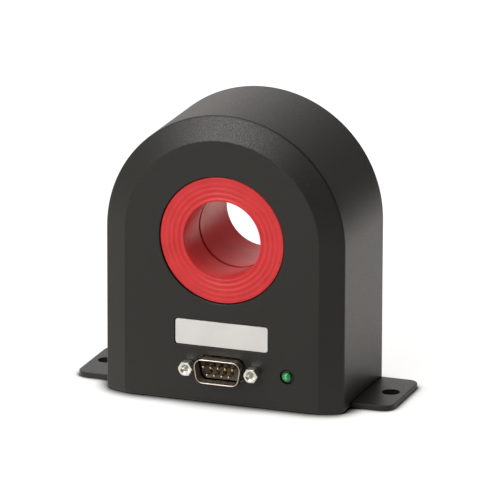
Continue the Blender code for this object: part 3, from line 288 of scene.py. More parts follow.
surfaceLooks = {
    # Satin anodised aluminium plate: pale warm silver, rolled finely from side to side
    "satinAnodisedAluminium": {
        "colours": ("#d7d8d7", "#dedfde"), "roughness": (0.36, 0.46), "metallic": 0.55,
        "grain": 0.25 * mm, "stretch": (0.04, 1.0, 1.0), "height": 0.003 * mm, "cloud": 9 * mm},
    # Bright nickel on drawn steel: warm pale metal with soft, slightly wavy reflections
    "nickelOnDrawnSteel": {
        "colours": ("#c2b8ab", "#d3cbc0"), "roughness": (0.16, 0.28), "metallic": 1.0,
        "grain": 0.5 * mm, "stretch": (1.0, 0.15, 1.0), "height": 0.004 * mm, "cloud": 3 * mm},
    # Zinc on machined steel: cooler pale metal with fine tool marks
    "zincOnMachinedSteel": {
        "colours": ("#e9e9e1", "#f2f2ea"), "roughness": (0.22, 0.34), "metallic": 1.0,
        "grain": 0.22 * mm, "height": 0.004 * mm, "cloud": 1.5 * mm},
    # Hard gold on brass pins: warm yellow, polished tips
    "goldOnBrass": {
        "colours": ("#cfae78", "#dcc08e"), "roughness": (0.18, 0.28), "metallic": 1.0,
        "grain": 0.2 * mm, "height": 0.002 * mm, "cloud": 1 * mm},
    # Glass-filled polyester moulding: black, matt, faintly mottled by the fibres
    "glassFilledPolyester": {
        "colours": ("#352d28", "#453b34"), "roughness": (0.34, 0.50), "ior": 1.55,
        "grain": 0.3 * mm, "height": 0.006 * mm, "cloud": 0.7 * mm},
    # Black steel with a fine oxide finish, for the socket screws
    "blackOxideSteel": {
        "colours": ("#2a2826", "#363330"), "roughness": (0.30, 0.44), "metallic": 0.9,
        "grain": 0.2 * mm, "height": 0.003 * mm, "cloud": 1.2 * mm},
    # Epoxy board under green solder mask: glossy lacquer over the weave of the glass cloth
    "solderMaskBoard": {
        "colours": ("#0d4a27", "#12603a"), "roughness": (0.26, 0.38), "ior": 1.55,
        "coat": 0.4, "coatRoughness": 0.08,
        "grain": 0.6 * mm, "height": 0.006 * mm, "cloud": 2.4 * mm},
    # Wound nanocrystalline tape: dull grey metal, faintly mottled
    "woundAlloyTape": {
        "colours": ("#75777b", "#8e9093"), "roughness": (0.34, 0.50), "metallic": 1.0,
        "grain": 0.3 * mm, "height": 0.006 * mm, "cloud": 4 * mm},
    # Closed-cell foam spacer: dark grey and dead matt, with open cells on its cut faces
    "closedCellFoam": {
        "colours": ("#3a3a3c", "#4a4a4d"), "roughness": (0.85, 0.95), "ior": 1.45,
        "grain": 0.8 * mm, "height": 0.12 * mm, "cloud": 2 * mm},
    # Extruded aluminium left bare: grey-white with die lines along its length
    "extrudedAluminium": {
        "colours": ("#b7b8ba", "#c9cacb"), "roughness": (0.30, 0.46), "metallic": 1.0,
        "grain": 0.4 * mm, "stretch": (0.05, 1.0, 1.0), "height": 0.006 * mm, "cloud": 6 * mm},
    # Shrunk sleeve round the capacitors: dark blue, tight and glossy
    "shrunkPolyesterSleeve": {
        "colours": ("#10183f", "#1a2557"), "roughness": (0.22, 0.34), "ior": 1.57,
        "grain": 1.2 * mm, "height": 0.01 * mm, "cloud": 4 * mm},
    # Soft wire insulation: yellow, lightly waxy
    "wireInsulation": {
        "colours": ("#b58b1b", "#c99f2c"), "roughness": (0.38, 0.50), "ior": 1.5,
        "grain": 0.5 * mm, "height": 0.004 * mm, "cloud": 2 * mm},
    # Moulded epoxy of chips and power packages: charcoal, fine matt spark texture
    "mouldedEpoxy": {
        "colours": ("#1b1b1c", "#262627"), "roughness": (0.48, 0.62), "ior": 1.55,
        "grain": 0.18 * mm, "height": 0.008 * mm, "cloud": 1.5 * mm},
}

# Clear tinted epoxy lamp: green and glossy, with a painted highlight as its paler centre and painted shade
# as the dark rim of its flange down in the hole
tintedLamp = {
    # centre: a painted highlight; rim: painted shade on the flange in the hole
    "centre": "#5fce86",
    "body": "#1f8c47",
    "rim": "#07260f",
    "radius": 2.1 * mm,
    "roughness": 0.12,
    "ior": 1.53,
    "coat": 0.15,
    "coatRoughness": 0.05,
}


def makeTintedLamp(name, look, centre):
    made, tree, place = startMaterial(name)
    centred = addNode(tree, "ShaderNodeVectorMath", {"operation": "SUBTRACT"}, {0: place, 1: centre})
    parts = addNode(tree, "ShaderNodeSeparateXYZ", inputs={0: centred.outputs[0]})
    across = addNode(tree, "ShaderNodeCombineXYZ", inputs={0: parts.outputs[0], 1: parts.outputs[2]})
    radius = addNode(tree, "ShaderNodeVectorMath", {"operation": "LENGTH"}, {0: across.outputs[0]})
    share = addNode(tree, "ShaderNodeMath", {"operation": "DIVIDE"}, {
        0: radius.outputs["Value"], 1: look["radius"]})
    tint = addNode(tree, "ShaderNodeValToRGB", inputs={"Fac": share.outputs[0]})
    # pale centre is a painted highlight, dark rim is painted shade
    rampColours(tint, [
        (0.0, look["centre"]), (0.34, look["body"]), (0.70, look["body"]), (0.88, look["rim"])])
    shader = addNode(tree, "ShaderNodeBsdfPrincipled", inputs={
        "Base Color": tint.outputs["Color"], "Roughness": look["roughness"], "IOR": look["ior"],
        "Coat Weight": look["coat"], "Coat Roughness": look["coatRoughness"]})
    endMaterial(tree, shader)
    return made


# Enamelled copper wire, laid round a ring core: each turn is a ridge that runs out from the axis
woundCopper = {
    "colour": "#b4602a",
    # painted shade in the grooves between turns
    "colourDeep": "#7c3a16",
    "turnsRound": 150,
    "height": 0.25 * mm,
    "roughness": 0.30,
    "metallic": 0.8,
    "coat": 0.5,
    "coatRoughness": 0.15,
}


def makeWoundCopper(name, look, axisHeight):
    made, tree, place = startMaterial(name)
    centred = addNode(tree, "ShaderNodeVectorMath", {"operation": "SUBTRACT"}, {
        0: place, 1: (0.0, 0.0, axisHeight)})
    parts = addNode(tree, "ShaderNodeSeparateXYZ", inputs={0: centred.outputs[0]})
    turn = addNode(tree, "ShaderNodeMath", {"operation": "ARCTAN2"}, {
        0: parts.outputs[2], 1: parts.outputs[0]})
    phase = addNode(tree, "ShaderNodeMath", {"operation": "MULTIPLY"}, {
        0: turn.outputs[0], 1: float(look["turnsRound"])})
    ridge = addNode(tree, "ShaderNodeMath", {"operation": "SINE"}, {0: phase.outputs[0]})
    height = addNode(tree, "ShaderNodeMapRange", inputs={
        "Value": ridge.outputs[0], "From Min": -1.0, "From Max": 1.0})
    # the grooves between turns get a darker colour: painted shade
    tint = addNode(tree, "ShaderNodeValToRGB", inputs={"Fac": height.outputs["Result"]})
    rampColours(tint, [(0.0, look["colourDeep"]), (0.6, look["colour"])])
    bump = addNode(tree, "ShaderNodeBump", inputs={
        "Height": height.outputs["Result"], "Distance": look["height"], "Strength": 0.8})
    shader = addNode(tree, "ShaderNodeBsdfPrincipled", inputs={
        "Base Color": tint.outputs["Color"], "Roughness": look["roughness"],
        "Metallic": look["metallic"], "Coat Weight": look["coat"],
        "Coat Roughness": look["coatRoughness"], "Normal": bump.outputs["Normal"]})
    endMaterial(tree, shader)
    return made


materials = {name: makeSurface(name, look) for name, look in surfaceLooks.items()}
materials["powderCoat"] = makePowderCoat("powderCoat", powderCoat)
materials["turnedAcetal"] = makeTurnedAcetal("turnedAcetal", turnedAcetal, archZ)
materials["tintedLamp"] = makeTintedLamp("tintedLamp", tintedLamp, (lampX, 0.0, lampZ))
materials["woundCopper"] = makeWoundCopper("woundCopper", woundCopper, archZ)
print("materials made:", len(materials))


# Shapes

def newObject(name, mesh):
    made = bpy.data.objects.new(name, mesh)
    scene.collection.objects.link(made)
    return made


def cleanInto(mesh, bm):  # doubles merged and faces turned outwards
    bmesh.ops.remove_doubles(bm, verts=bm.verts, dist=mergeReach)
    bmesh.ops.recalc_face_normals(bm, faces=bm.faces)
    bm.to_mesh(mesh)
    bm.free()


def fromBmesh(name, bm):
    mesh = bpy.data.meshes.new(name)
    cleanInto(mesh, bm)
    return newObject(name, mesh)


def bridged(bm, rows):  # quads between closed rows of as many vertices
    for near, far in zip(rows, rows[1:]):
        count = len(near)
        for i in range(count):
            bm.faces.new((near[i], near[(i + 1) % count], far[(i + 1) % count], far[i]))


def lofted(name, loops):  # a solid through closed loops of as many points, capped at both ends
    bm = bmesh.new()
    rows = [[bm.verts.new(point) for point in loop] for loop in loops]
    bridged(bm, rows)
    bm.faces.new(rows[0])
    bm.faces.new(rows[-1])
    return fromBmesh(name, bm)


def sleeve(name, loops):  # the same without caps, its last loop joined to its first
    bm = bmesh.new()
    rows = [[bm.verts.new(point) for point in loop] for loop in loops]
    bridged(bm, rows + [rows[0]])
    return fromBmesh(name, bm)


def arcPoints(centre, radius, start, end, steps):  # flat points along an arc, in degrees
    turns = [math.radians(start + (end - start) * k / steps) for k in range(steps + 1)]
    return [(centre[0] + radius * math.cos(t), centre[1] + radius * math.sin(t)) for t in turns]


def circle(radius, steps):  # flat points, anticlockwise
    return arcPoints((0.0, 0.0), radius, 0, 360, steps)[:-1]


def frontLoop(points, depth, x=0.0, z=0.0):  # flat points seen from the front, at a depth
    return [(x + p[0], faceY + depth, z + p[1]) for p in points]


def lathed(name, profile, x, z, steps):  # a solid from a profile of (radius, depth from the face)
    return lofted(name, [frontLoop(circle(radius, steps), depth, x, z) for radius, depth in profile])


def turned(name, profile, steps):  # a solid about the y axis, from a profile of (radius, place on it)
    return lofted(name, [[(x, y, z) for x, z in circle(radius, steps)] for radius, y in profile])


# Loops (x, y, z) of a screw along z, from stations of (radius, z, share of the thread's depth)
def threadLoops(stations, pitch, threadDepth, steps=36):
    loops = []
    for radius, z, thread in stations:
        loop = []
        for k in range(steps):
            share = k / steps
            saw = abs(((z / pitch - share) % 1.0) * 2 - 1)
            reach = radius - thread * threadDepth * saw
            turn = 2 * math.pi * share
            loop.append((reach * math.cos(turn), reach * math.sin(turn), z))
        loops.append(loop)
    return loops


def roundedCorners(corners, radius, steps):  # a convex outline, anticlockwise, its corners rounded
    points = []
    count = len(corners)
    for i, corner in enumerate(corners):
        corner = Vector(corner)
        before = (Vector(corners[i - 1]) - corner).normalized()
        after = (Vector(corners[(i + 1) % count]) - corner).normalized()
        halfAngle = before.angle(after) / 2
        centre = corner + (before + after).normalized() * radius / math.sin(halfAngle)
        start = corner + before * radius / math.tan(halfAngle) - centre
        sweep = math.pi - 2 * halfAngle
        for k in range(steps + 1):
            arm = start.copy()
            arm.rotate(Matrix.Rotation(sweep * k / steps, 2))
            points.append(centre + arm)
    return points


def roundedBox(width, height, radius, steps):
    x, y = width / 2, height / 2
    return roundedCorners([(-x, -y), (x, -y), (x, y), (-x, y)], radius, steps)


# A rounded block seen from the front. Each station is how much larger it is all round, and its depth.
def frontBlock(name, width, height, corner, stations, x=0.0, z=0.0, steps=10):
    return lofted(name, [
        frontLoop(roundedBox(width + 2 * grow, height + 2 * grow, corner + grow, steps), depth, x, z)
        for grow, depth in stations])


# Points (inset, depth) round a corner of the profile start-corner-end, with a radius
def fillet(start, corner, end, radius, steps):
    start, corner, end = Vector(start), Vector(corner), Vector(end)
    before, after = (start - corner).normalized(), (end - corner).normalized()
    halfAngle = before.angle(after) / 2
    reach = radius / math.tan(halfAngle)
    centre = corner + (before + after).normalized() * radius / math.sin(halfAngle)
    first = corner + before * reach - centre
    last = corner + after * reach - centre
    points = []
    for k in range(steps + 1):
        points.append(tuple(centre + first.normalized().slerp(last.normalized(), k / steps) * radius))
    return points


def arch(half, foot, corner, depth):  # the housing's outline: a half circle on upright sides
    points = arcPoints((half - corner, foot + corner), corner, -90, 0, 6)
    points += arcPoints((0.0, archZ), half, 0, 180, 96)
    points += arcPoints((corner - half, foot + corner), corner, 180, 270, 6)
    return frontLoop(points, depth)


def carve(target, cutters, operation="DIFFERENCE"):  # Booleans whose cutters are used up
    for cutter in cutters:
        step = target.modifiers.new("carve", "BOOLEAN")
        step.operation = operation
        step.solver = "EXACT"
        step.object = cutter
    settle(target)
    for cutter in cutters:
        bpy.data.objects.remove(cutter)


def settle(target):  # turns the object with its modifiers into a plain mesh
    bpy.context.view_layer.update()
    evaluated = target.evaluated_get(bpy.context.evaluated_depsgraph_get())
    mesh = bpy.data.meshes.new_from_object(
        evaluated, preserve_all_data_layers=True, depsgraph=bpy.context.evaluated_depsgraph_get())
    target.modifiers.clear()
    target.data = mesh


# Smooth shading that keeps edges over an angle sharp and lets large flat faces stay flat
def finishPiece(target, material, replaced, sharpAngle=35.0):
    mesh = target.data
    mesh.materials.clear()
    mesh.materials.append(material)
    mesh.polygons.foreach_set("material_index", [0] * len(mesh.polygons))
    mesh.shade_smooth()
    mesh.set_sharp_from_angle(angle=math.radians(sharpAngle))
    weighted = target.modifiers.new("flat faces", "WEIGHTED_NORMAL")
    weighted.keep_sharp = True
    weighted.weight = flatFaceWeight
    settle(target)
    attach(target, "root")
    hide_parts(*replaced)
    print("piece:", target.name, len(target.data.polygons), "faces")


# Geometry Nodes trees

def newTree(name, sockets):  # a tree with its geometry in and out and the named inputs given
    tree = bpy.data.node_groups.new(name, "GeometryNodeTree")
    tree.interface.new_socket("Geometry", in_out="INPUT", socket_type="NodeSocketGeometry")
    for label, kind in sockets:
        tree.interface.new_socket(label, in_out="INPUT", socket_type=kind)
    tree.interface.new_socket("Geometry", in_out="OUTPUT", socket_type="NodeSocketGeometry")
    return tree, tree.nodes.new("NodeGroupInput").outputs


def runTree(target, tree, values):  # sets the inputs by identifier, then makes a plain mesh
    modifier = target.modifiers.new(tree.name, "NODES")
    modifier.node_group = tree
    names = {item.name: item.identifier for item in tree.interface.items_tree
             if item.item_type == "SOCKET" and item.in_out == "INPUT"}
    for label, value in values.items():
        modifier[names[label]] = value
    target.update_tag()
    settle(target)


# Copies a piece to each point, all facing one way, each turned about its own axis by a seeded amount
def buildCopyTree():
    tree, given = newTree("copies on points", [
        ("Piece", "NodeSocketObject"), ("Facing", "NodeSocketRotation"),
        ("Least Turn", "NodeSocketFloat"), ("Most Turn", "NodeSocketFloat"),
        ("Seed", "NodeSocketInt"), ("Material", "NodeSocketMaterial")])
    source = addNode(tree, "GeometryNodeObjectInfo", {"transform_space": "ORIGINAL"}, {
        "Object": given["Piece"]})
    placed = addNode(tree, "GeometryNodeInstanceOnPoints", inputs={
        "Points": given["Geometry"], "Instance": source.outputs["Geometry"],
        "Rotation": given["Facing"]})
    turn = addNode(tree, "FunctionNodeRandomValue", {"data_type": "FLOAT"}, {
        2: given["Least Turn"], 3: given["Most Turn"], "Seed": given["Seed"]})
    spin = addNode(tree, "ShaderNodeCombineXYZ", inputs={"Z": turn.outputs[1]})
    spun = addNode(tree, "GeometryNodeRotateInstances", inputs={
        "Instances": placed.outputs[0], "Rotation": spin.outputs[0], "Local Space": True})
    real = addNode(tree, "GeometryNodeRealizeInstances", inputs={"Geometry": spun.outputs[0]})
    finished = addNode(tree, "GeometryNodeSetMaterial", inputs={
        "Geometry": real.outputs[0], "Material": given["Material"]})
    addNode(tree, "NodeGroupOutput", inputs={"Geometry": finished.outputs[0]})
    return tree


# Turns a profile about the aperture's axis and cuts shallow rings into its front face. The rings
# lie closer together and get shallower towards the rim. The profile's points hold radius and depth.
def buildLatheTree():
    tree, given = newTree("ringed lathe", [
        ("Points", "NodeSocketInt"), ("Steps", "NodeSocketInt"),
        ("Axis Height", "NodeSocketFloat"), ("Face", "NodeSocketFloat"),
        ("Rings Outside", "NodeSocketFloat"), ("Rings Inside", "NodeSocketFloat"),
        ("Ring Count", "NodeSocketFloat"), ("Crowding", "NodeSocketFloat"),
        ("Ring Depth", "NodeSocketFloat"), ("Fade", "NodeSocketFloat"),
        ("Material", "NodeSocketMaterial")])

    index = addNode(tree, "GeometryNodeInputIndex").outputs[0]
    position = addNode(tree, "GeometryNodeInputPosition").outputs[0]
    sample = addNode(tree, "GeometryNodeSampleIndex", {"data_type": "FLOAT_VECTOR"}, {
        "Geometry": given["Geometry"], "Value": position})
    parts = addNode(tree, "ShaderNodeSeparateXYZ", inputs={0: sample.outputs[0]})
    radius, depth = parts.outputs[0], parts.outputs[1]
    sums = {}  # each line: its name, the operation, and its terms, where a name is an earlier line
    for name, operation, *terms in (
            ("columns", "ADD", given["Steps"], 1.0),
            ("row", "MODULO", index, given["Points"]),
            ("half past", "ADD", index, 0.5),
            ("column", "DIVIDE", "half past", given["Points"]),
            ("step", "FLOOR", "column"),
            ("round", "DIVIDE", "step", given["Steps"]),
            ("turn", "MULTIPLY", "round", 2 * math.pi),
            ("cosine", "COSINE", "turn"),
            ("sine", "SINE", "turn"),
            ("span", "SUBTRACT", given["Rings Outside"], given["Rings Inside"]),
            ("past", "SUBTRACT", radius, given["Rings Inside"]),
            ("share", "DIVIDE", "past", "span"),
            ("above", "GREATER_THAN", "share", 0.0),
            ("below", "LESS_THAN", "share", 1.0),
            ("between", "MULTIPLY", "above", "below"),
            ("flat", "LESS_THAN", depth, 0.02 * mm),
            ("on face", "MULTIPLY", "between", "flat"),
            ("positive", "MAXIMUM", "share", 0.0),
            ("crowded", "POWER", "positive", given["Crowding"]),
            ("rings", "MULTIPLY", "crowded", given["Ring Count"]),
            ("phase", "MULTIPLY", "rings", 2 * math.pi),
            ("crest", "COSINE", "phase"),
            ("wave", "MULTIPLY_ADD", "crest", -0.5, 0.5),
            ("loss", "SUBTRACT", given["Fade"], 1.0),
            ("fading", "MULTIPLY_ADD", "share", "loss", 1.0),
            ("deepest", "MULTIPLY", given["Ring Depth"], "fading"),
            ("cut", "MULTIPLY", "wave", "deepest"),
            ("drop", "MULTIPLY", "cut", "on face"),
            ("lowered", "ADD", depth, "drop"),
            ("x", "MULTIPLY", radius, "cosine"),
            ("y", "ADD", "lowered", given["Face"]),
            ("z", "MULTIPLY_ADD", radius, "sine", given["Axis Height"])):
        sockets = {i: sums[term] if isinstance(term, str) else term for i, term in enumerate(terms)}
        sums[name] = addNode(tree, "ShaderNodeMath", {"operation": operation}, sockets).outputs[0]
    tree.links.new(sums["row"], sample.inputs["Index"])
    points = addNode(tree, "GeometryNodeMeshGrid", inputs={
        "Size X": 1.0, "Size Y": 1.0, "Vertices X": sums["columns"], "Vertices Y": given["Points"]})
    place = addNode(tree, "ShaderNodeCombineXYZ", inputs={0: sums["x"], 1: sums["y"], 2: sums["z"]})
    shaped = addNode(tree, "GeometryNodeSetPosition", inputs={
        "Geometry": points.outputs["Mesh"], "Position": place.outputs[0]})
    merged = addNode(tree, "GeometryNodeMergeByDistance", inputs={
        "Geometry": shaped.outputs[0], "Distance": mergeReach})
    real = addNode(tree, "GeometryNodeRealizeInstances", inputs={"Geometry": merged.outputs[0]})
    finished = addNode(tree, "GeometryNodeSetMaterial", inputs={
        "Geometry": real.outputs[0], "Material": given["Material"]})
    addNode(tree, "NodeGroupOutput", inputs={"Geometry": finished.outputs[0]})
    return tree


copyTree = buildCopyTree()
latheTree = buildLatheTree()


def copiesOnPoints(name, source, points, facing, material, leastTurn=0.0, mostTurn=0.0, seed=7):
    mesh = bpy.data.meshes.new(name)
    mesh.from_pydata([tuple(point) for point in points], [], [])
    target = newObject(name, mesh)
    runTree(target, copyTree, {
        "Piece": source, "Facing": facing, "Least Turn": leastTurn, "Most Turn": mostTurn,
        "Seed": seed, "Material": material})
    bpy.data.objects.remove(source)
    return target


# Housing

housing = {
    "bevelWidth": 8.5 * mm,
    "bevelDepth": 4.0 * mm,
    "wall": 3.0 * mm,
    "floor": 5.0 * mm,
    "footRadius": 1.5 * mm,
    "shoulderRadius": 1.0 * mm,
    "faceEdgeRadius": 1.2 * mm,
    "backRadius": 0.5 * mm,
    "sillRadius": 1.0 * mm,
    "backSillRadius": 0.45 * mm,
    "edgeBreak": 0.18 * mm,
    "bossRadius": 3.6 * mm,
    "cavityCorner": 0.6 * mm,
    "coverCorner": 0.4 * mm,
    "flangeSeat": 2.2 * mm,
    "lampHole": 2.65 * mm,
    "openingGap": 0.8 * mm,  # round the connector's shell
    "openingEdge": 0.15 * mm,
    "openingDepth": 1.5 * mm,
}


def housingProfile(look):  # (inset, depth) from the back edge to the flat front face
    depth = backY - faceY
    bevel = (look["bevelWidth"], 0.0)
    shoulder = (0.0, look["bevelDepth"])
    points = fillet((look["bevelWidth"], depth), (0.0, depth), shoulder, look["backRadius"], 5)
    points += [(0.0, depth * share) for share in (0.8, 0.6, 0.4, 0.2)]
    points += fillet((0.0, depth), shoulder, bevel, look["shoulderRadius"], 6)
    slope = look["bevelWidth"] / look["bevelDepth"]
    for share in (0.75, 0.5, 0.25):
        low = look["bevelDepth"] * share
        points.append((look["bevelWidth"] - low * slope, low))
    for turn in (0, 15, 30, 45):  # where the rounding of the bottom edge bends
        low = look["sillRadius"] * (1 - math.sin(math.radians(turn)))
        points.append((look["bevelWidth"] - low * slope, low))
    points += fillet(shoulder, bevel, (2 * look["bevelWidth"], 0.0), look["faceEdgeRadius"], 6)
    return points


def sillRise(depth, look):  # how far the bottom edge is lifted to round it at the front and back
    fromBack = backY - faceY - depth
    for radius, fromEdge in ((look["sillRadius"], depth), (look["backSillRadius"], fromBack)):
        if fromEdge < radius:
            return radius - math.sqrt(max(0.0, radius ** 2 - (radius - fromEdge) ** 2))
    return 0.0


def makeHousing(look):
    body = lofted("housing", [
        arch(halfWidth - inset, sillRise(depth, look), look["footRadius"], depth)
        for inset, depth in housingProfile(look)])

    depth = backY - faceY
    past = 2 * mm  # how far a cutter reaches past what it cuts
    seat = coverLow.y - faceY - clearance
    wall, floor, edge = look["wall"], look["floor"], look["edgeBreak"]
    inner, corner = halfWidth - wall, look["cavityCorner"]
    cavity = lofted("cavity", [
        arch(inner - look["bevelWidth"], floor, corner, wall),
        arch(inner, floor, corner, wall + look["bevelDepth"]),
        arch(inner, floor, corner, depth + past)])
    carve(cavity, [
        lathed("boss", [(look["bossRadius"], 0.5 * mm), (look["bossRadius"], seat)], x, z, 32)
        for x, _, z in middles(coverScrewNames)])

    rim, sill, corner = coverHigh.x + clearance, coverLow.z - clearance, look["coverCorner"]
    cutters = [cavity, lofted("coverRecess", [
        arch(rim, sill, corner, seat), arch(rim, sill, corner, depth - edge),
        arch(rim + 2 * edge, sill, corner, depth + edge)])]

    slotBox = roundedBox(4 * halfWidth, plateHigh.y - plateLow.y + 2 * clearance, clearance, 3)
    middle = (plateLow.y + plateHigh.y) / 2
    roof = plateHigh.z + 0.1 * mm
    cutters.append(lofted("plateSlot", [
        [(p[0], middle + p[1], z) for p in slotBox] for z in (-past, roof)]))

    radius = flangeHigh.x + clearance
    cutters.append(lathed("flangeRecess", [
        (radius + 2 * edge, -edge), (radius, edge), (radius, look["flangeSeat"])], 0.0, archZ, 160))
    cutters.append(lathed("tubeHole", [(rearHole, 1.0 * mm), (rearHole, wall + past)], 0.0, archZ, 96))

    gap, edge = look["openingGap"], look["openingEdge"]
    cutters.append(lofted("connectorOpening", [
        frontLoop(connectorOutline(grow), deep)
        for grow, deep in ((gap + 2 * edge, -edge), (gap, edge), (gap, look["openingDepth"]))]))
    cutters.append(frontBlock(
        "connectorPocket", shellWidth + 2 * clearance, shellHeight + 2 * clearance,
        connector["flangeCorner"], [(0.0, 1.0 * mm), (0.0, wall + past)], z=connectorZ))
    for side in (-1, 1):
        cutters.append(lathed(
            "jackscrewHole", [(jackHole, -past), (jackHole, past)], side * jackOffset, connectorZ, 32))

    radius = look["lampHole"]
    cutters.append(lathed("lampHole", [
        (radius + 0.15 * mm, -0.1 * mm), (radius, 0.05 * mm), (radius, wall + past)], lampX, lampZ, 64))
    cutters.append(frontBlock(
        "plateRecess", nameWidth + 2 * clearance, nameHeight + 2 * clearance,
        namePlate["corner"] + clearance,
        [(0.2 * mm, -0.1 * mm), (0.0, 0.1 * mm), (0.0, 1.1 * mm)], z=nameZ, steps=8))
    carve(body, cutters)
    finishPiece(
        body, materials["powderCoat"], ["housing_shell"], sharpAngle=28.0)


# Connector: shell, insulator and pins

connector = {
    "leanDegrees": 10.0,
    "insideWidth": 16.9 * mm,
    "insideHeight": 8.3 * mm,
    "corner": 2.6 * mm,
    "wall": 0.4 * mm,
    "flangeCorner": 1.6 * mm,
    "flangeFront": 1.3 * mm,
    "flangeFillet": 0.35 * mm,
    "flangeEdge": 0.12 * mm,
    "insulatorFace": 0.5 * mm,
    "insulatorEdge": 0.15 * mm,
    "noseEnd": 3.0 * mm,
    "blockFront": 2.6 * mm,
    "pinRadius": 0.5 * mm,
    "pinHole": 0.62 * mm,
    "pinShoulder": 9.2 * mm,
    "tailRadius": 0.35 * mm,
}
jackHole = 1.65 * mm  # radius of the holes that the jackscrews pass through


def connectorOutline(grow):  # the inside of the shell, larger all round by grow
    halfHeight = connector["insideHeight"] / 2 + grow
    radius = connector["corner"] + grow
    angle = math.radians(connector["leanDegrees"])
    pastCorner = radius * (math.tan(angle) + 1 / math.cos(angle) - 1)
    top = connector["insideWidth"] / 2 + grow + pastCorner
    foot = top - 2 * halfHeight * math.tan(angle)
    corners = [(-foot, -halfHeight), (foot, -halfHeight), (top, halfHeight), (-top, halfHeight)]
    return [(p[0], p[1] + connectorZ) for p in roundedCorners(corners, radius, 10)]


def makeConnectorShell(look):
    wall, bend, edge = look["wall"], look["flangeFillet"], look["flangeEdge"]
    front, back = look["flangeFront"], shellHigh.y - faceY
    profile = [(0.0, back)]
    profile += arcPoints((wall / 2, shellLow.y - faceY + wall / 2), wall / 2, 180, 360, 8)  # rolled rim
    profile += arcPoints((wall + bend, front - bend), bend, 180, 90, 4)[:-1]  # bend into the flange
    profile += [(wall + bend, front + 0.2 * mm), (wall + bend, back)]
    tube = sleeve("connectorShell", [frontLoop(connectorOutline(grow), depth) for grow, depth in profile])

    flange = frontBlock("flange", shellWidth, shellHeight, look["flangeCorner"], [
        (-edge, front), (0.0, front + edge), (0.0, back - edge), (-edge, back)], z=connectorZ)
    outline = connectorOutline((wall + bend) / 2)
    through = (0.0, 4 * mm)
    cutters = [lofted("hollow", [frontLoop(outline, depth) for depth in through])]
    for side in (-1, 1):
        cutters.append(lathed(
            "flangeHole", [(jackHole, depth) for depth in through], side * jackOffset, connectorZ, 32))
    carve(flange, cutters)
    carve(tube, [flange], "UNION")
    finishPiece(tube, materials["nickelOnDrawnSteel"], ["connector_shell"])


def makeInsulator(look):
    face, edge = look["insulatorFace"], look["insulatorEdge"]
    back = insulatorHigh.y - faceY
    nose = ((-clearance - edge, face), (-clearance, face + edge), (-clearance, look["noseEnd"]))
    body = lofted("connectorInsulator", [frontLoop(connectorOutline(grow), depth) for grow, depth in nose])
    carve(body, [frontBlock(
        "block", insulatorHigh.x - insulatorLow.x, insulatorHigh.z - insulatorLow.z,
        look["flangeCorner"], [(0.0, look["blockFront"]), (0.0, back)], z=connectorZ)], "UNION")
    radius = look["pinHole"]
    profile = [(radius + 0.25 * mm, face - 0.1 * mm), (radius, face + 0.15 * mm), (radius, back + 1 * mm)]
    carve(body, [lathed("pinHole", profile, x, z, 24) for x, _, z in middles(pinNames)])
    finishPiece(body, materials["glassFilledPolyester"], ["connector_insulator"])


def makePins(look):
    low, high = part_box("connector_pin_1")
    length = high.y - low.y
    radius, tail, shoulder = look["pinRadius"], look["tailRadius"], look["pinShoulder"]
    closed = 0.0001 * mm  # the radius at both ends, where the points merge into one
    profile = [(closed, 0.0)]
    for k in range(1, 7):  # a rounded point
        turn = math.pi / 2 * k / 6
        profile.append((radius * math.sin(turn) ** 0.8, radius * 1.1 * (1 - math.cos(turn))))
    profile += [(radius, shoulder - 0.1 * mm), (tail, shoulder), (tail, length - 0.15 * mm)]
    profile += [(0.2 * mm, length), (closed, length)]
    source = turned("pinSource", profile, 20)
    points = [(x, low.y, z) for x, _, z in middles(pinNames)]
    pins = copiesOnPoints("connectorPins", source, points, (0.0, 0.0, 0.0), materials["goldOnBrass"])
    finishPiece(pins, materials["goldOnBrass"], pinNames)


# Jackscrews, with their threaded bores and the studs behind them

jackscrew = {
    "acrossFlats": 4.8 * mm,
    "chamfer": 0.55 * mm,
    "mouthRadius": 1.75 * mm,
    "boreRadius": 1.25 * mm,
    "threadDepth": 0.22 * mm,
    "threadPitch": 0.635 * mm,
    "boreDepth": 3.0 * mm,
    "studRadius": 1.4 * mm,
}


def makeJackscrews(look):
    length = jackHigh.y - jackLow.y
    headLength = faceY - clearance - jackLow.y
    flat = look["acrossFlats"] / 2
    corner = look["acrossFlats"] / math.sqrt(3)
    drop, stud = look["chamfer"], look["studRadius"]
    head = turned("jackscrewSource", [(corner, 0.0), (corner, headLength)], 6)
    carve(head, [turned("envelope", [
        (flat - 0.15 * mm, 0.0), (flat + 0.05 * mm, 0.08 * mm), (corner + 0.1 * mm, drop),
        (corner + 0.1 * mm, headLength - drop), (flat + 0.05 * mm, headLength)], 64)], "INTERSECT")
    carve(head, [turned("stud", [
        (stud, headLength / 2), (stud, length - 0.3 * mm), (stud - 0.3 * mm, length)], 48)], "UNION")

    # The bore: a conical mouth, then a helical thread
    mouth, bore, pitch = look["mouthRadius"], look["boreRadius"], look["threadPitch"]
    threadStart = mouth - bore
    rows = int((look["boreDepth"] - threadStart) / (pitch / 6))
    stations = [(mouth + 0.3 * mm, -0.3 * mm, 0.0), (bore + 0.02 * mm, threadStart, 0.0)]
    stations += [(bore, threadStart + k * pitch / 6, 1.0) for k in range(1, rows)]
    loops = threadLoops(stations, pitch, look["threadDepth"])
    carve(head, [lofted("thread", [[(x, y, z) for x, z, y in loop] for loop in loops])])

    steel = materials["zincOnMachinedSteel"]
    points = [(side * jackOffset, jackLow.y, connectorZ) for side in (-1, 1)]
    screws = copiesOnPoints("jackscrews", head, points, (0.0, 0.0, 0.0), steel)
    finishPiece(
        screws, steel, ["jackscrew_left", "jackscrew_right"], sharpAngle=25.0)


# Bushings

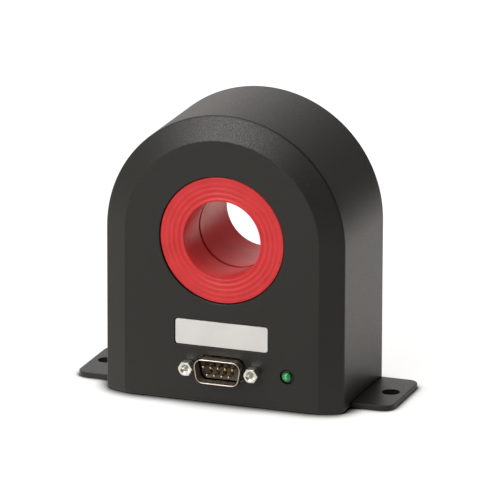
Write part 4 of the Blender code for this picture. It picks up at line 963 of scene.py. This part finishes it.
bushing = {
    "steps": 160,
    "faceSteps": 110,  # enough across the face for smooth rings
    "bore": 14.5 * mm,
    "wall": 2.4 * mm,
    "flangeThickness": 1.4 * mm,
    "flangeBelow": 0.5 * mm,  # under the housing's face
    "rimRadius": 0.35 * mm,
    "lipRadius": 1.0 * mm,
    "seamDepth": 16.8 * mm,
    "seamBreak": 0.6 * mm,
    "sleeve": 4.0 * mm,  # length of the overlap of the two tubes
    "faceLip": 0.5 * mm,
    "ringCount": 4.3,
    "ringDepth": 0.30 * mm,
    "ringFade": 0.3,  # depth of the outermost ring as a share of the innermost
    "crowding": 1.04,  # over 1, the rings lie closer together towards the rim
}
rearHole = bushing["bore"] + bushing["wall"] + clearance  # in the front wall and the back cover


def turnProfile(name, profile, rings, look):
    mesh = bpy.data.meshes.new(name)
    closed = profile + [profile[0]]
    mesh.from_pydata([(radius, depth, 0.0) for radius, depth in closed], [], [])
    target = newObject(name, mesh)
    rim = flangeHigh.x - look["rimRadius"]
    runTree(target, latheTree, {
        "Points": len(closed), "Steps": look["steps"], "Axis Height": archZ,
        "Face": faceY + (look["flangeBelow"] if rings else 0.0),
        "Rings Outside": rim, "Rings Inside": look["bore"] + look["faceLip"],
        "Ring Count": look["ringCount"], "Crowding": look["crowding"], "Fade": look["ringFade"],
        "Ring Depth": look["ringDepth"] if rings else 0.0, "Material": materials["turnedAcetal"]})
    bm = bmesh.new()
    bm.from_mesh(target.data)
    cleanInto(target.data, bm)
    return target


def makeBushings(look):
    bore, rim = look["bore"], flangeHigh.x
    tube = bore + look["wall"]
    split = bore + (look["wall"] - clearance) / 2  # where one tube's sleeve lies in the other
    below, edge = look["flangeBelow"], look["seamBreak"]
    seam = look["seamDepth"] - below  # the front bushing's depths count from its own flange
    sleeveEnd = seam + look["sleeve"]
    thickness, corner, lip = look["flangeThickness"], look["rimRadius"], look["lipRadius"]

    profile = arcPoints((rim - corner, corner), corner, -90, 0, 6)
    outerSplit = split + clearance
    profile += [(rim, thickness), (tube, thickness), (tube, sleeveEnd), (outerSplit, sleeveEnd)]
    profile += [(outerSplit, seam), (bore + edge, seam), (bore, seam - edge)]
    profile += [(bore, seam * share) for share in (0.75, 0.5, 0.25)]
    faceLip = look["faceLip"]
    profile += arcPoints((bore + faceLip, faceLip), faceLip, 180, 270, 8)
    inner, outer = bore + faceLip, rim - corner
    count = look["faceSteps"]
    profile += [(inner + (outer - inner) * k / count, 0.0) for k in range(1, count)]
    front = turnProfile("frontBushing", profile, True, look)
    finishPiece(front, materials["turnedAcetal"], ["front_bushing"])

    back = rearHigh.y - faceY
    start = seam + below + clearance
    shoulder = sleeveEnd + below + clearance
    profile = [(bore + edge, start), (split, start), (split, shoulder), (tube, shoulder)]
    profile += [(tube, back - thickness), (rim, back - thickness)]
    profile += arcPoints((rim - corner, back - corner), corner, 0, 90, 6)
    profile += arcPoints((bore + lip, back - lip), lip, 90, 180, 8)
    profile += [(bore, start + (back - lip - start) * share) for share in (0.75, 0.5, 0.25)]
    profile += [(bore, start + edge)]
    rear = turnProfile("rearBushing", profile, False, look)
    finishPiece(rear, materials["turnedAcetal"], ["rear_bushing"])


# Name plate

namePlate = {"corner": 1.0 * mm, "edge": 0.12 * mm}


def makeNamePlate(look):
    front, back, edge = nameLow.y - faceY, nameHigh.y - faceY, look["edge"]
    plate = frontBlock("namePlate", nameWidth, nameHeight, look["corner"], [
        (-edge, front), (-edge * 0.3, front + edge * 0.3), (0.0, front + edge), (0.0, back)], z=nameZ)
    finishPiece(plate, materials["satinAnodisedAluminium"], ["name_plate"])


# Mounting plate with its two ears

mountingPlate = {
    "corner": 4.0 * mm,
    "edge": 0.3 * mm,
    "relief": 0.2 * mm,  # how far the middle lies under the ears, for the housing
    "holeRadius": 3.25 * mm,
    "holeSpacing": 110.0 * mm,
    "holeEdge": 0.08 * mm,
    "sinkRadius": 3.05 * mm,
    "sinkDepth": 1.8 * mm,
    "shankRadius": 1.7 * mm,
}


def makeMountingPlate(look):
    length, depth = plateHigh.x - plateLow.x, plateHigh.y - plateLow.y
    middle = (plateLow.y + plateHigh.y) / 2
    top = plateHigh.z

    def flatLoop(inset, z):
        outline = roundedBox(length - 2 * inset, depth - 2 * inset, look["corner"] - inset, 14)
        return [(p[0], middle + p[1], z) for p in outline]

    edge = look["edge"]
    rounding = arcPoints((edge, edge), edge, 270, 180, 4)  # (inset, rise)
    loops = [flatLoop(inset, rise) for inset, rise in rounding]
    loops += [flatLoop(inset, top - rise) for inset, rise in reversed(rounding)]
    plate = lofted("mountingPlate", loops)

    def upLoops(profile, x, y, steps):
        return [[(x + p[0], y + p[1], z) for p in circle(radius, steps)] for radius, z in profile]

    radius, broken = look["holeRadius"], look["holeEdge"]
    profile = [(radius + 2 * broken, -broken), (radius, broken), (radius, top - broken),
               (radius + 2 * broken, top + broken)]
    cutters = [lofted("holeCutter", upLoops(profile, side * look["holeSpacing"] / 2, 0.0, 64))
               for side in (-1, 1)]
    sink, shank = look["sinkRadius"], look["shankRadius"]
    profile = [(sink + 0.3 * mm, -0.3 * mm), (sink, 0.05 * mm), (shank, look["sinkDepth"] - 0.1 * mm),
               (shank, top + 1 * mm)]
    for x, y, _ in middles(baseScrewNames):
        cutters.append(lofted("sinkCutter", upLoops(profile, x, y, 48)))
    relief = roundedBox(2 * (halfWidth + clearance), 2 * depth, 0.2 * mm, 2)
    cutters.append(lofted("relief", [
        [(p[0], p[1], z) for p in relief] for z in (top - look["relief"], top + 1 * mm)]))
    carve(plate, cutters)
    finishPiece(plate, materials["powderCoat"], ["mounting_plate"])


# Back cover

backCover = {
    "edge": 0.35 * mm,
    "corner": 0.4 * mm,
    "sinkRadius": 3.05 * mm,
    "sinkDepth": 1.7 * mm,
    "shankRadius": 1.7 * mm,
    "flangeSeat": 1.7 * mm,
}


def makeBackCover(look):
    half, foot = coverHigh.x, coverLow.z
    front, back = coverLow.y - faceY, coverHigh.y - faceY
    edge, corner = look["edge"], look["corner"]
    loops = [arch(half, foot, corner, front)]
    for inset, drop in arcPoints((edge, edge), edge, 180, 270, 4):
        loops.append(arch(half - inset, foot + inset, corner, back - drop))
    cover = lofted("backCover", loops)

    radius, before = rearHigh.x + clearance, front - 1 * mm
    cutters = [
        lathed("rearFlangeRecess", [
            (radius, back - look["flangeSeat"]), (radius, back - 0.15 * mm),
            (radius + 0.3 * mm, back + 0.15 * mm)], 0.0, archZ, 160),
        lathed("rearTubeHole", [(rearHole, before), (rearHole, back - 1 * mm)], 0.0, archZ, 96)]
    sink, shank = look["sinkRadius"], look["shankRadius"]
    profile = [(shank, before), (shank, back - look["sinkDepth"]), (sink, back - 0.3 * mm),
               (sink + 0.25 * mm, back + 0.2 * mm)]
    for x, _, z in middles(coverScrewNames):
        cutters.append(lathed("coverSink", profile, x, z, 48))
    carve(cover, cutters)
    finishPiece(cover, materials["powderCoat"], ["back_cover"])


# Flush socket screws, in the back cover and under the mounting plate

flushScrew = {
    "headRadius": 2.8 * mm,
    "headHeight": 1.6 * mm,
    "shankRadius": 1.45 * mm,
    "socketAcross": 2.0 * mm,
    "socketDepth": 1.1 * mm,
    "below": 0.1 * mm,  # the head's top under the surface
    "neck": 0.5 * mm,  # plain shank between head and thread
    "threadPitch": 0.5 * mm,
    "threadDepth": 0.25 * mm,
}


def flushScrewSource(look, length):  # its head's top lies at local z 0 and it points down -Z
    head, shank, top = look["headRadius"], look["shankRadius"], -look["below"]
    z = -look["headHeight"] - look["neck"]
    stations = [(head - 0.12 * mm, top, 0.0), (head, top - 0.1 * mm, 0.0), (head, top - 0.2 * mm, 0.0),
                (shank, -look["headHeight"], 0.0), (shank, z, 0.0)]
    while z > -length + 0.7 * mm:
        z -= look["threadPitch"] / 4
        stations.append((shank, z, 1.0))
    stations += [(shank - look["threadDepth"], z - 0.1 * mm, 0.0), (shank - 0.5 * mm, -length, 0.0)]
    screw = lofted("flushScrewSource", threadLoops(stations, look["threadPitch"], look["threadDepth"]))
    corner = look["socketAcross"] / math.sqrt(3)
    socket = ((corner + 0.3 * mm, top + 0.15 * mm), (corner, top - 0.15 * mm),
              (corner, top - look["socketDepth"]))
    carve(screw, [lofted("socket", [[(x, y, z) for x, y in circle(radius, 6)] for radius, z in socket])])
    return screw


def makeFlushScrews(look):
    steel = materials["blackOxideSteel"]
    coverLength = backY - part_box("cover_screw_1")[0].y
    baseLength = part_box("base_screw_1")[1].z
    coverPoints = [(x, backY, z) for x, _, z in middles(coverScrewNames)]
    basePoints = [(x, y, 0.0) for x, y, _ in middles(baseScrewNames)]
    for name, nodeNames, length, points, facing, seed in (
            ("coverScrews", coverScrewNames, coverLength, coverPoints, (-math.pi / 2, 0.0, 0.0), 11),
            ("baseScrews", baseScrewNames, baseLength, basePoints, (math.pi, 0.0, 0.0), 12)):
        source = flushScrewSource(look, length)
        screws = copiesOnPoints(name, source, points, facing, steel, mostTurn=math.pi / 3, seed=seed)
        finishPiece(screws, steel, nodeNames, sharpAngle=30.0)


# Status lamp

statusLamp = {
    "lensRadius": 1.85 * mm,
    "flangeRadius": 2.25 * mm,
    "flangeThickness": 1.0 * mm,
    "proud": 1.4 * mm,
    "length": 3.0 * mm,
    "legHalf": 0.25 * mm,
    "legPitch": 2.54 * mm,
}


def makeStatusLamp(look):
    lens, rim, tip = look["lensRadius"], look["flangeRadius"], -look["proud"]
    length = look["length"] + tip
    flangeAt = length - look["flangeThickness"]
    profile = [(0.002 * mm, tip)]  # the dome starts with a tiny flat
    profile += arcPoints((0.0, tip + lens), lens, -84, 0, 14)
    profile += [(lens, flangeAt), (rim, flangeAt), (rim, length)]
    lamp = lathed("statusLamp", profile, lampX, lampZ, 48)
    across = 2 * look["legHalf"]
    stations = [(0.0, length - 0.5 * mm), (0.0, lampHigh.y - faceY)]
    carve(lamp, [
        frontBlock("leg", across, across, 0.08 * mm, stations, lampX + side * look["legPitch"] / 2, lampZ, 2)
        for side in (-1, 1)], "UNION")
    finishPiece(lamp, materials["tintedLamp"], ["status_led"])


makeHousing(housing)
makeBushings(bushing)
makeConnectorShell(connector)
makeInsulator(connector)
makePins(connector)
makeJackscrews(jackscrew)
makeNamePlate(namePlate)
makeMountingPlate(mountingPlate)
makeBackCover(backCover)
makeFlushScrews(flushScrew)
makeStatusLamp(statusLamp)


# Inner pieces keep their CAD shapes and get the finish of the real ones

innerFinishes = {
    "zincOnMachinedSteel": ["jackscrew_nut_left", "jackscrew_nut_right", *numbered("board_screw", 4)],
    "mouldedEpoxy": ["led_spacer", "controller_chip", "dc_converter", "shunt_resistor",
                     "output_amplifier_1", "output_amplifier_2"],
    "solderMaskBoard": ["main_board"],
    "woundAlloyTape": ["fluxgate_core_front", "fluxgate_core_rear", "feedback_core"],
    "woundCopper": ["excitation_winding_front", "excitation_winding_rear", "compensation_winding"],
    "closedCellFoam": ["front_spacer_ring", "rear_spacer_ring"],
    "wireInsulation": ["winding_lead_left", "winding_lead_right"],
    "shrunkPolyesterSleeve": ["filter_capacitor_1", "filter_capacitor_2"],
    "extrudedAluminium": ["heat_spreader"],
}
for finish, nodeNames in innerFinishes.items():
    for nodeName in nodeNames:
        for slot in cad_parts[nodeName].material_slots:
            slot.material = materials[finish]
print("inner pieces finished")


# Floor, backdrop and light

studio = {
    "floorSize": 6.0,
    "floorColour": "#e7e6e4",
    "paperGlow": (0.82, 0.3),  # for the camera: plain white, and the share of the real light on it
    "contactShadows": [  # reach, how open a spot is at its darkest and at full white, its darkest level
        (6.5 * mm, 0.50, 0.95, 0.0), (14.0 * mm, 0.50, 0.90, 0.55)],
    "paperGains": [  # the paper in reflections: axis, where a change starts and ends, its two levels
        (1, -0.08, 0.10, 0.97, 2.25),  # brighter close behind the object
        (1, 0.20, 0.75, 1.0, 0.25),  # dim well behind it, where the paper runs out of the light
        (0, -0.05, 0.35, 1.0, 0.55)],  # dimmer to its right
    "worldColour": "#fffaf6",
    "worldSides": (-0.42, 0.42, 1.12, 0.22),  # the room, bright on its left and dark on its right
    "worldDepth": (-0.3, 0.3, 0.42, 1.0),  # the same, dimmer in front of the object than behind it
    "softboxes": [  # name, place, aimed at, width, height, power, colour
        ("overheadSoftbox", (-0.25, -0.35, 1.15), (0.0, 0.0, 0.05), 0.9, 0.7, 5.9, "#fffcf8"),
        ("frontLeftSoftbox", (-0.62, -1.60, 1.09), (0.0, 0.0, 0.06), 1.2, 0.7, 23.4, "#fffdfa"),
    ],
}


def makeStudio(look):
    made, tree, place = startMaterial("whitePaperSweep")  # seamless white paper, matt
    paths = addNode(tree, "ShaderNodeLightPath")
    parts = addNode(tree, "ShaderNodeSeparateXYZ", inputs={0: place})
    slopes = []
    for axis, start, end, near, far in look["paperGains"]:
        slopes.append(addNode(tree, "ShaderNodeMapRange", inputs={
            "Value": parts.outputs[axis], "From Min": start, "From Max": end,
            "To Min": near, "To Max": far}))
    behind = addNode(tree, "ShaderNodeMath", {"operation": "MULTIPLY"}, {
        0: slopes[0].outputs["Result"], 1: slopes[1].outputs["Result"]})
    mirrored = addNode(tree, "ShaderNodeMath", {"operation": "MULTIPLY"}, {
        0: behind.outputs[0], 1: slopes[2].outputs["Result"]})
    gain = addNode(tree, "ShaderNodeMix", {"data_type": "FLOAT"}, {
        0: paths.outputs["Is Glossy Ray"], 2: 1.0, 3: mirrored.outputs[0]})
    white = addNode(tree, "ShaderNodeVectorMath", {"operation": "SCALE"}, {
        0: srgb(look["floorColour"])[:3], "Scale": gain.outputs[0]})
    paper = addNode(tree, "ShaderNodeBsdfDiffuse", inputs={"Color": white.outputs[0]})

    shadows = []
    for reach, shut, free, darkest in look["contactShadows"]:
        openness = addNode(tree, "ShaderNodeAmbientOcclusion", {"samples": 12}, {"Distance": reach})
        shadows.append(addNode(tree, "ShaderNodeMapRange", inputs={
            "Value": openness.outputs["AO"], "From Min": shut, "From Max": free, "To Min": darkest}))
    contact = addNode(tree, "ShaderNodeMath", {"operation": "MULTIPLY"}, {
        0: shadows[0].outputs["Result"], 1: shadows[1].outputs["Result"]})
    glow, share = (
        addNode(tree, "ShaderNodeMath", {"operation": "MULTIPLY"}, {0: contact.outputs[0], 1: level})
        for level in look["paperGlow"])
    lit = addNode(tree, "ShaderNodeBsdfDiffuse", inputs={"Color": share.outputs[0]})
    shining = addNode(tree, "ShaderNodeEmission", inputs={"Strength": glow.outputs[0]})
    bright = addNode(tree, "ShaderNodeAddShader", inputs={0: lit.outputs[0], 1: shining.outputs[0]})
    seen = addNode(tree, "ShaderNodeMath", {"operation": "MAXIMUM"}, {
        0: paths.outputs["Is Camera Ray"], 1: paths.outputs["Is Transmission Ray"]})
    mixed = addNode(tree, "ShaderNodeMixShader", inputs={
        0: seen.outputs[0], 1: paper.outputs[0], 2: bright.outputs[0]})
    endMaterial(tree, mixed)
    half = look["floorSize"] / 2
    mesh = bpy.data.meshes.new("paperFloor")
    corners = [(-half, -half, 0), (half, -half, 0), (half, half, 0), (-half, half, 0)]
    mesh.from_pydata(corners, [], [(0, 1, 2, 3)])
    mesh.materials.append(made)
    floor = newObject("paperFloor", mesh)

    world = bpy.data.worlds.new("studioWorld")
    world.use_nodes = True
    tree = world.node_tree
    tree.nodes.clear()
    paths = addNode(tree, "ShaderNodeLightPath")
    towards = addNode(tree, "ShaderNodeTexCoord").outputs["Generated"]
    parts = addNode(tree, "ShaderNodeSeparateXYZ", inputs={0: towards})
    falls = []
    for axis, blend, (start, end, near, far) in (
            (0, "SMOOTHSTEP", look["worldSides"]), (1, "LINEAR", look["worldDepth"])):
        falls.append(addNode(tree, "ShaderNodeMapRange", {"interpolation_type": blend}, {
            "Value": parts.outputs[axis], "From Min": start, "From Max": end,
            "To Min": near, "To Max": far}))
    level = addNode(tree, "ShaderNodeMath", {"operation": "MULTIPLY"}, {
        0: falls[0].outputs["Result"], 1: falls[1].outputs["Result"]})
    plain = addNode(tree, "ShaderNodeBackground", inputs={
        "Color": srgb(look["worldColour"]), "Strength": level.outputs[0]})
    white = addNode(tree, "ShaderNodeBackground", inputs={"Color": (1, 1, 1, 1), "Strength": 1.0})
    seen = addNode(tree, "ShaderNodeMath", {"operation": "MAXIMUM"}, {
        0: paths.outputs["Is Camera Ray"], 1: paths.outputs["Is Transmission Ray"]})
    mixed = addNode(tree, "ShaderNodeMixShader", inputs={
        0: seen.outputs[0], 1: plain.outputs[0], 2: white.outputs[0]})
    addNode(tree, "ShaderNodeOutputWorld", inputs={"Surface": mixed.outputs[0]})
    scene.world = world

    for name, place, aim, width, height, power, colour in look["softboxes"]:
        light = bpy.data.lights.new(name, "AREA")
        light.shape = "RECTANGLE"
        light.size, light.size_y = width, height
        light.energy = power
        light.color = srgb(colour)[:3]
        lamp = newObject(name, light)
        lamp.location = place
        lamp.rotation_euler = (Vector(aim) - Vector(place)).to_track_quat("-Z", "Y").to_euler()


makeStudio(studio)


# Camera, at the photograph's viewing angle

cameraPlace = {
    "azimuth": 19.75,
    "elevation": 16.82,
    "roll": 0.17,
    "target": (10.845 * mm, -28.29 * mm, 59.05 * mm),
    "distance": 2500.0 * mm,
    "focalPixels": 6986.0,
    "imagePixels": 500.0,
    "sensorWidth": 36.0,
    "clip": (0.1, 50.0),
}


def makeCamera(look):
    azimuth, elevation, roll = (math.radians(look[key]) for key in ("azimuth", "elevation", "roll"))
    back = Vector((math.sin(azimuth) * math.cos(elevation), -math.cos(azimuth) * math.cos(elevation),
                   math.sin(elevation)))
    right = (-back).cross(Vector((0, 0, 1))).normalized()
    up = right.cross(-back)
    rolledRight = right * math.cos(roll) + up * math.sin(roll)
    rolledUp = up * math.cos(roll) - right * math.sin(roll)
    data = bpy.data.cameras.new("photoCamera")
    data.sensor_width = look["sensorWidth"]
    data.lens = look["focalPixels"] / look["imagePixels"] * data.sensor_width
    data.clip_start, data.clip_end = look["clip"]
    camera = newObject("photoCamera", data)
    matrix = Matrix((rolledRight, rolledUp, back)).transposed().to_4x4()
    matrix.translation = Vector(look["target"]) + back * look["distance"]
    camera.matrix_world = matrix
    scene.camera = camera


makeCamera(cameraPlace)
scene.view_settings.view_transform = "Standard"
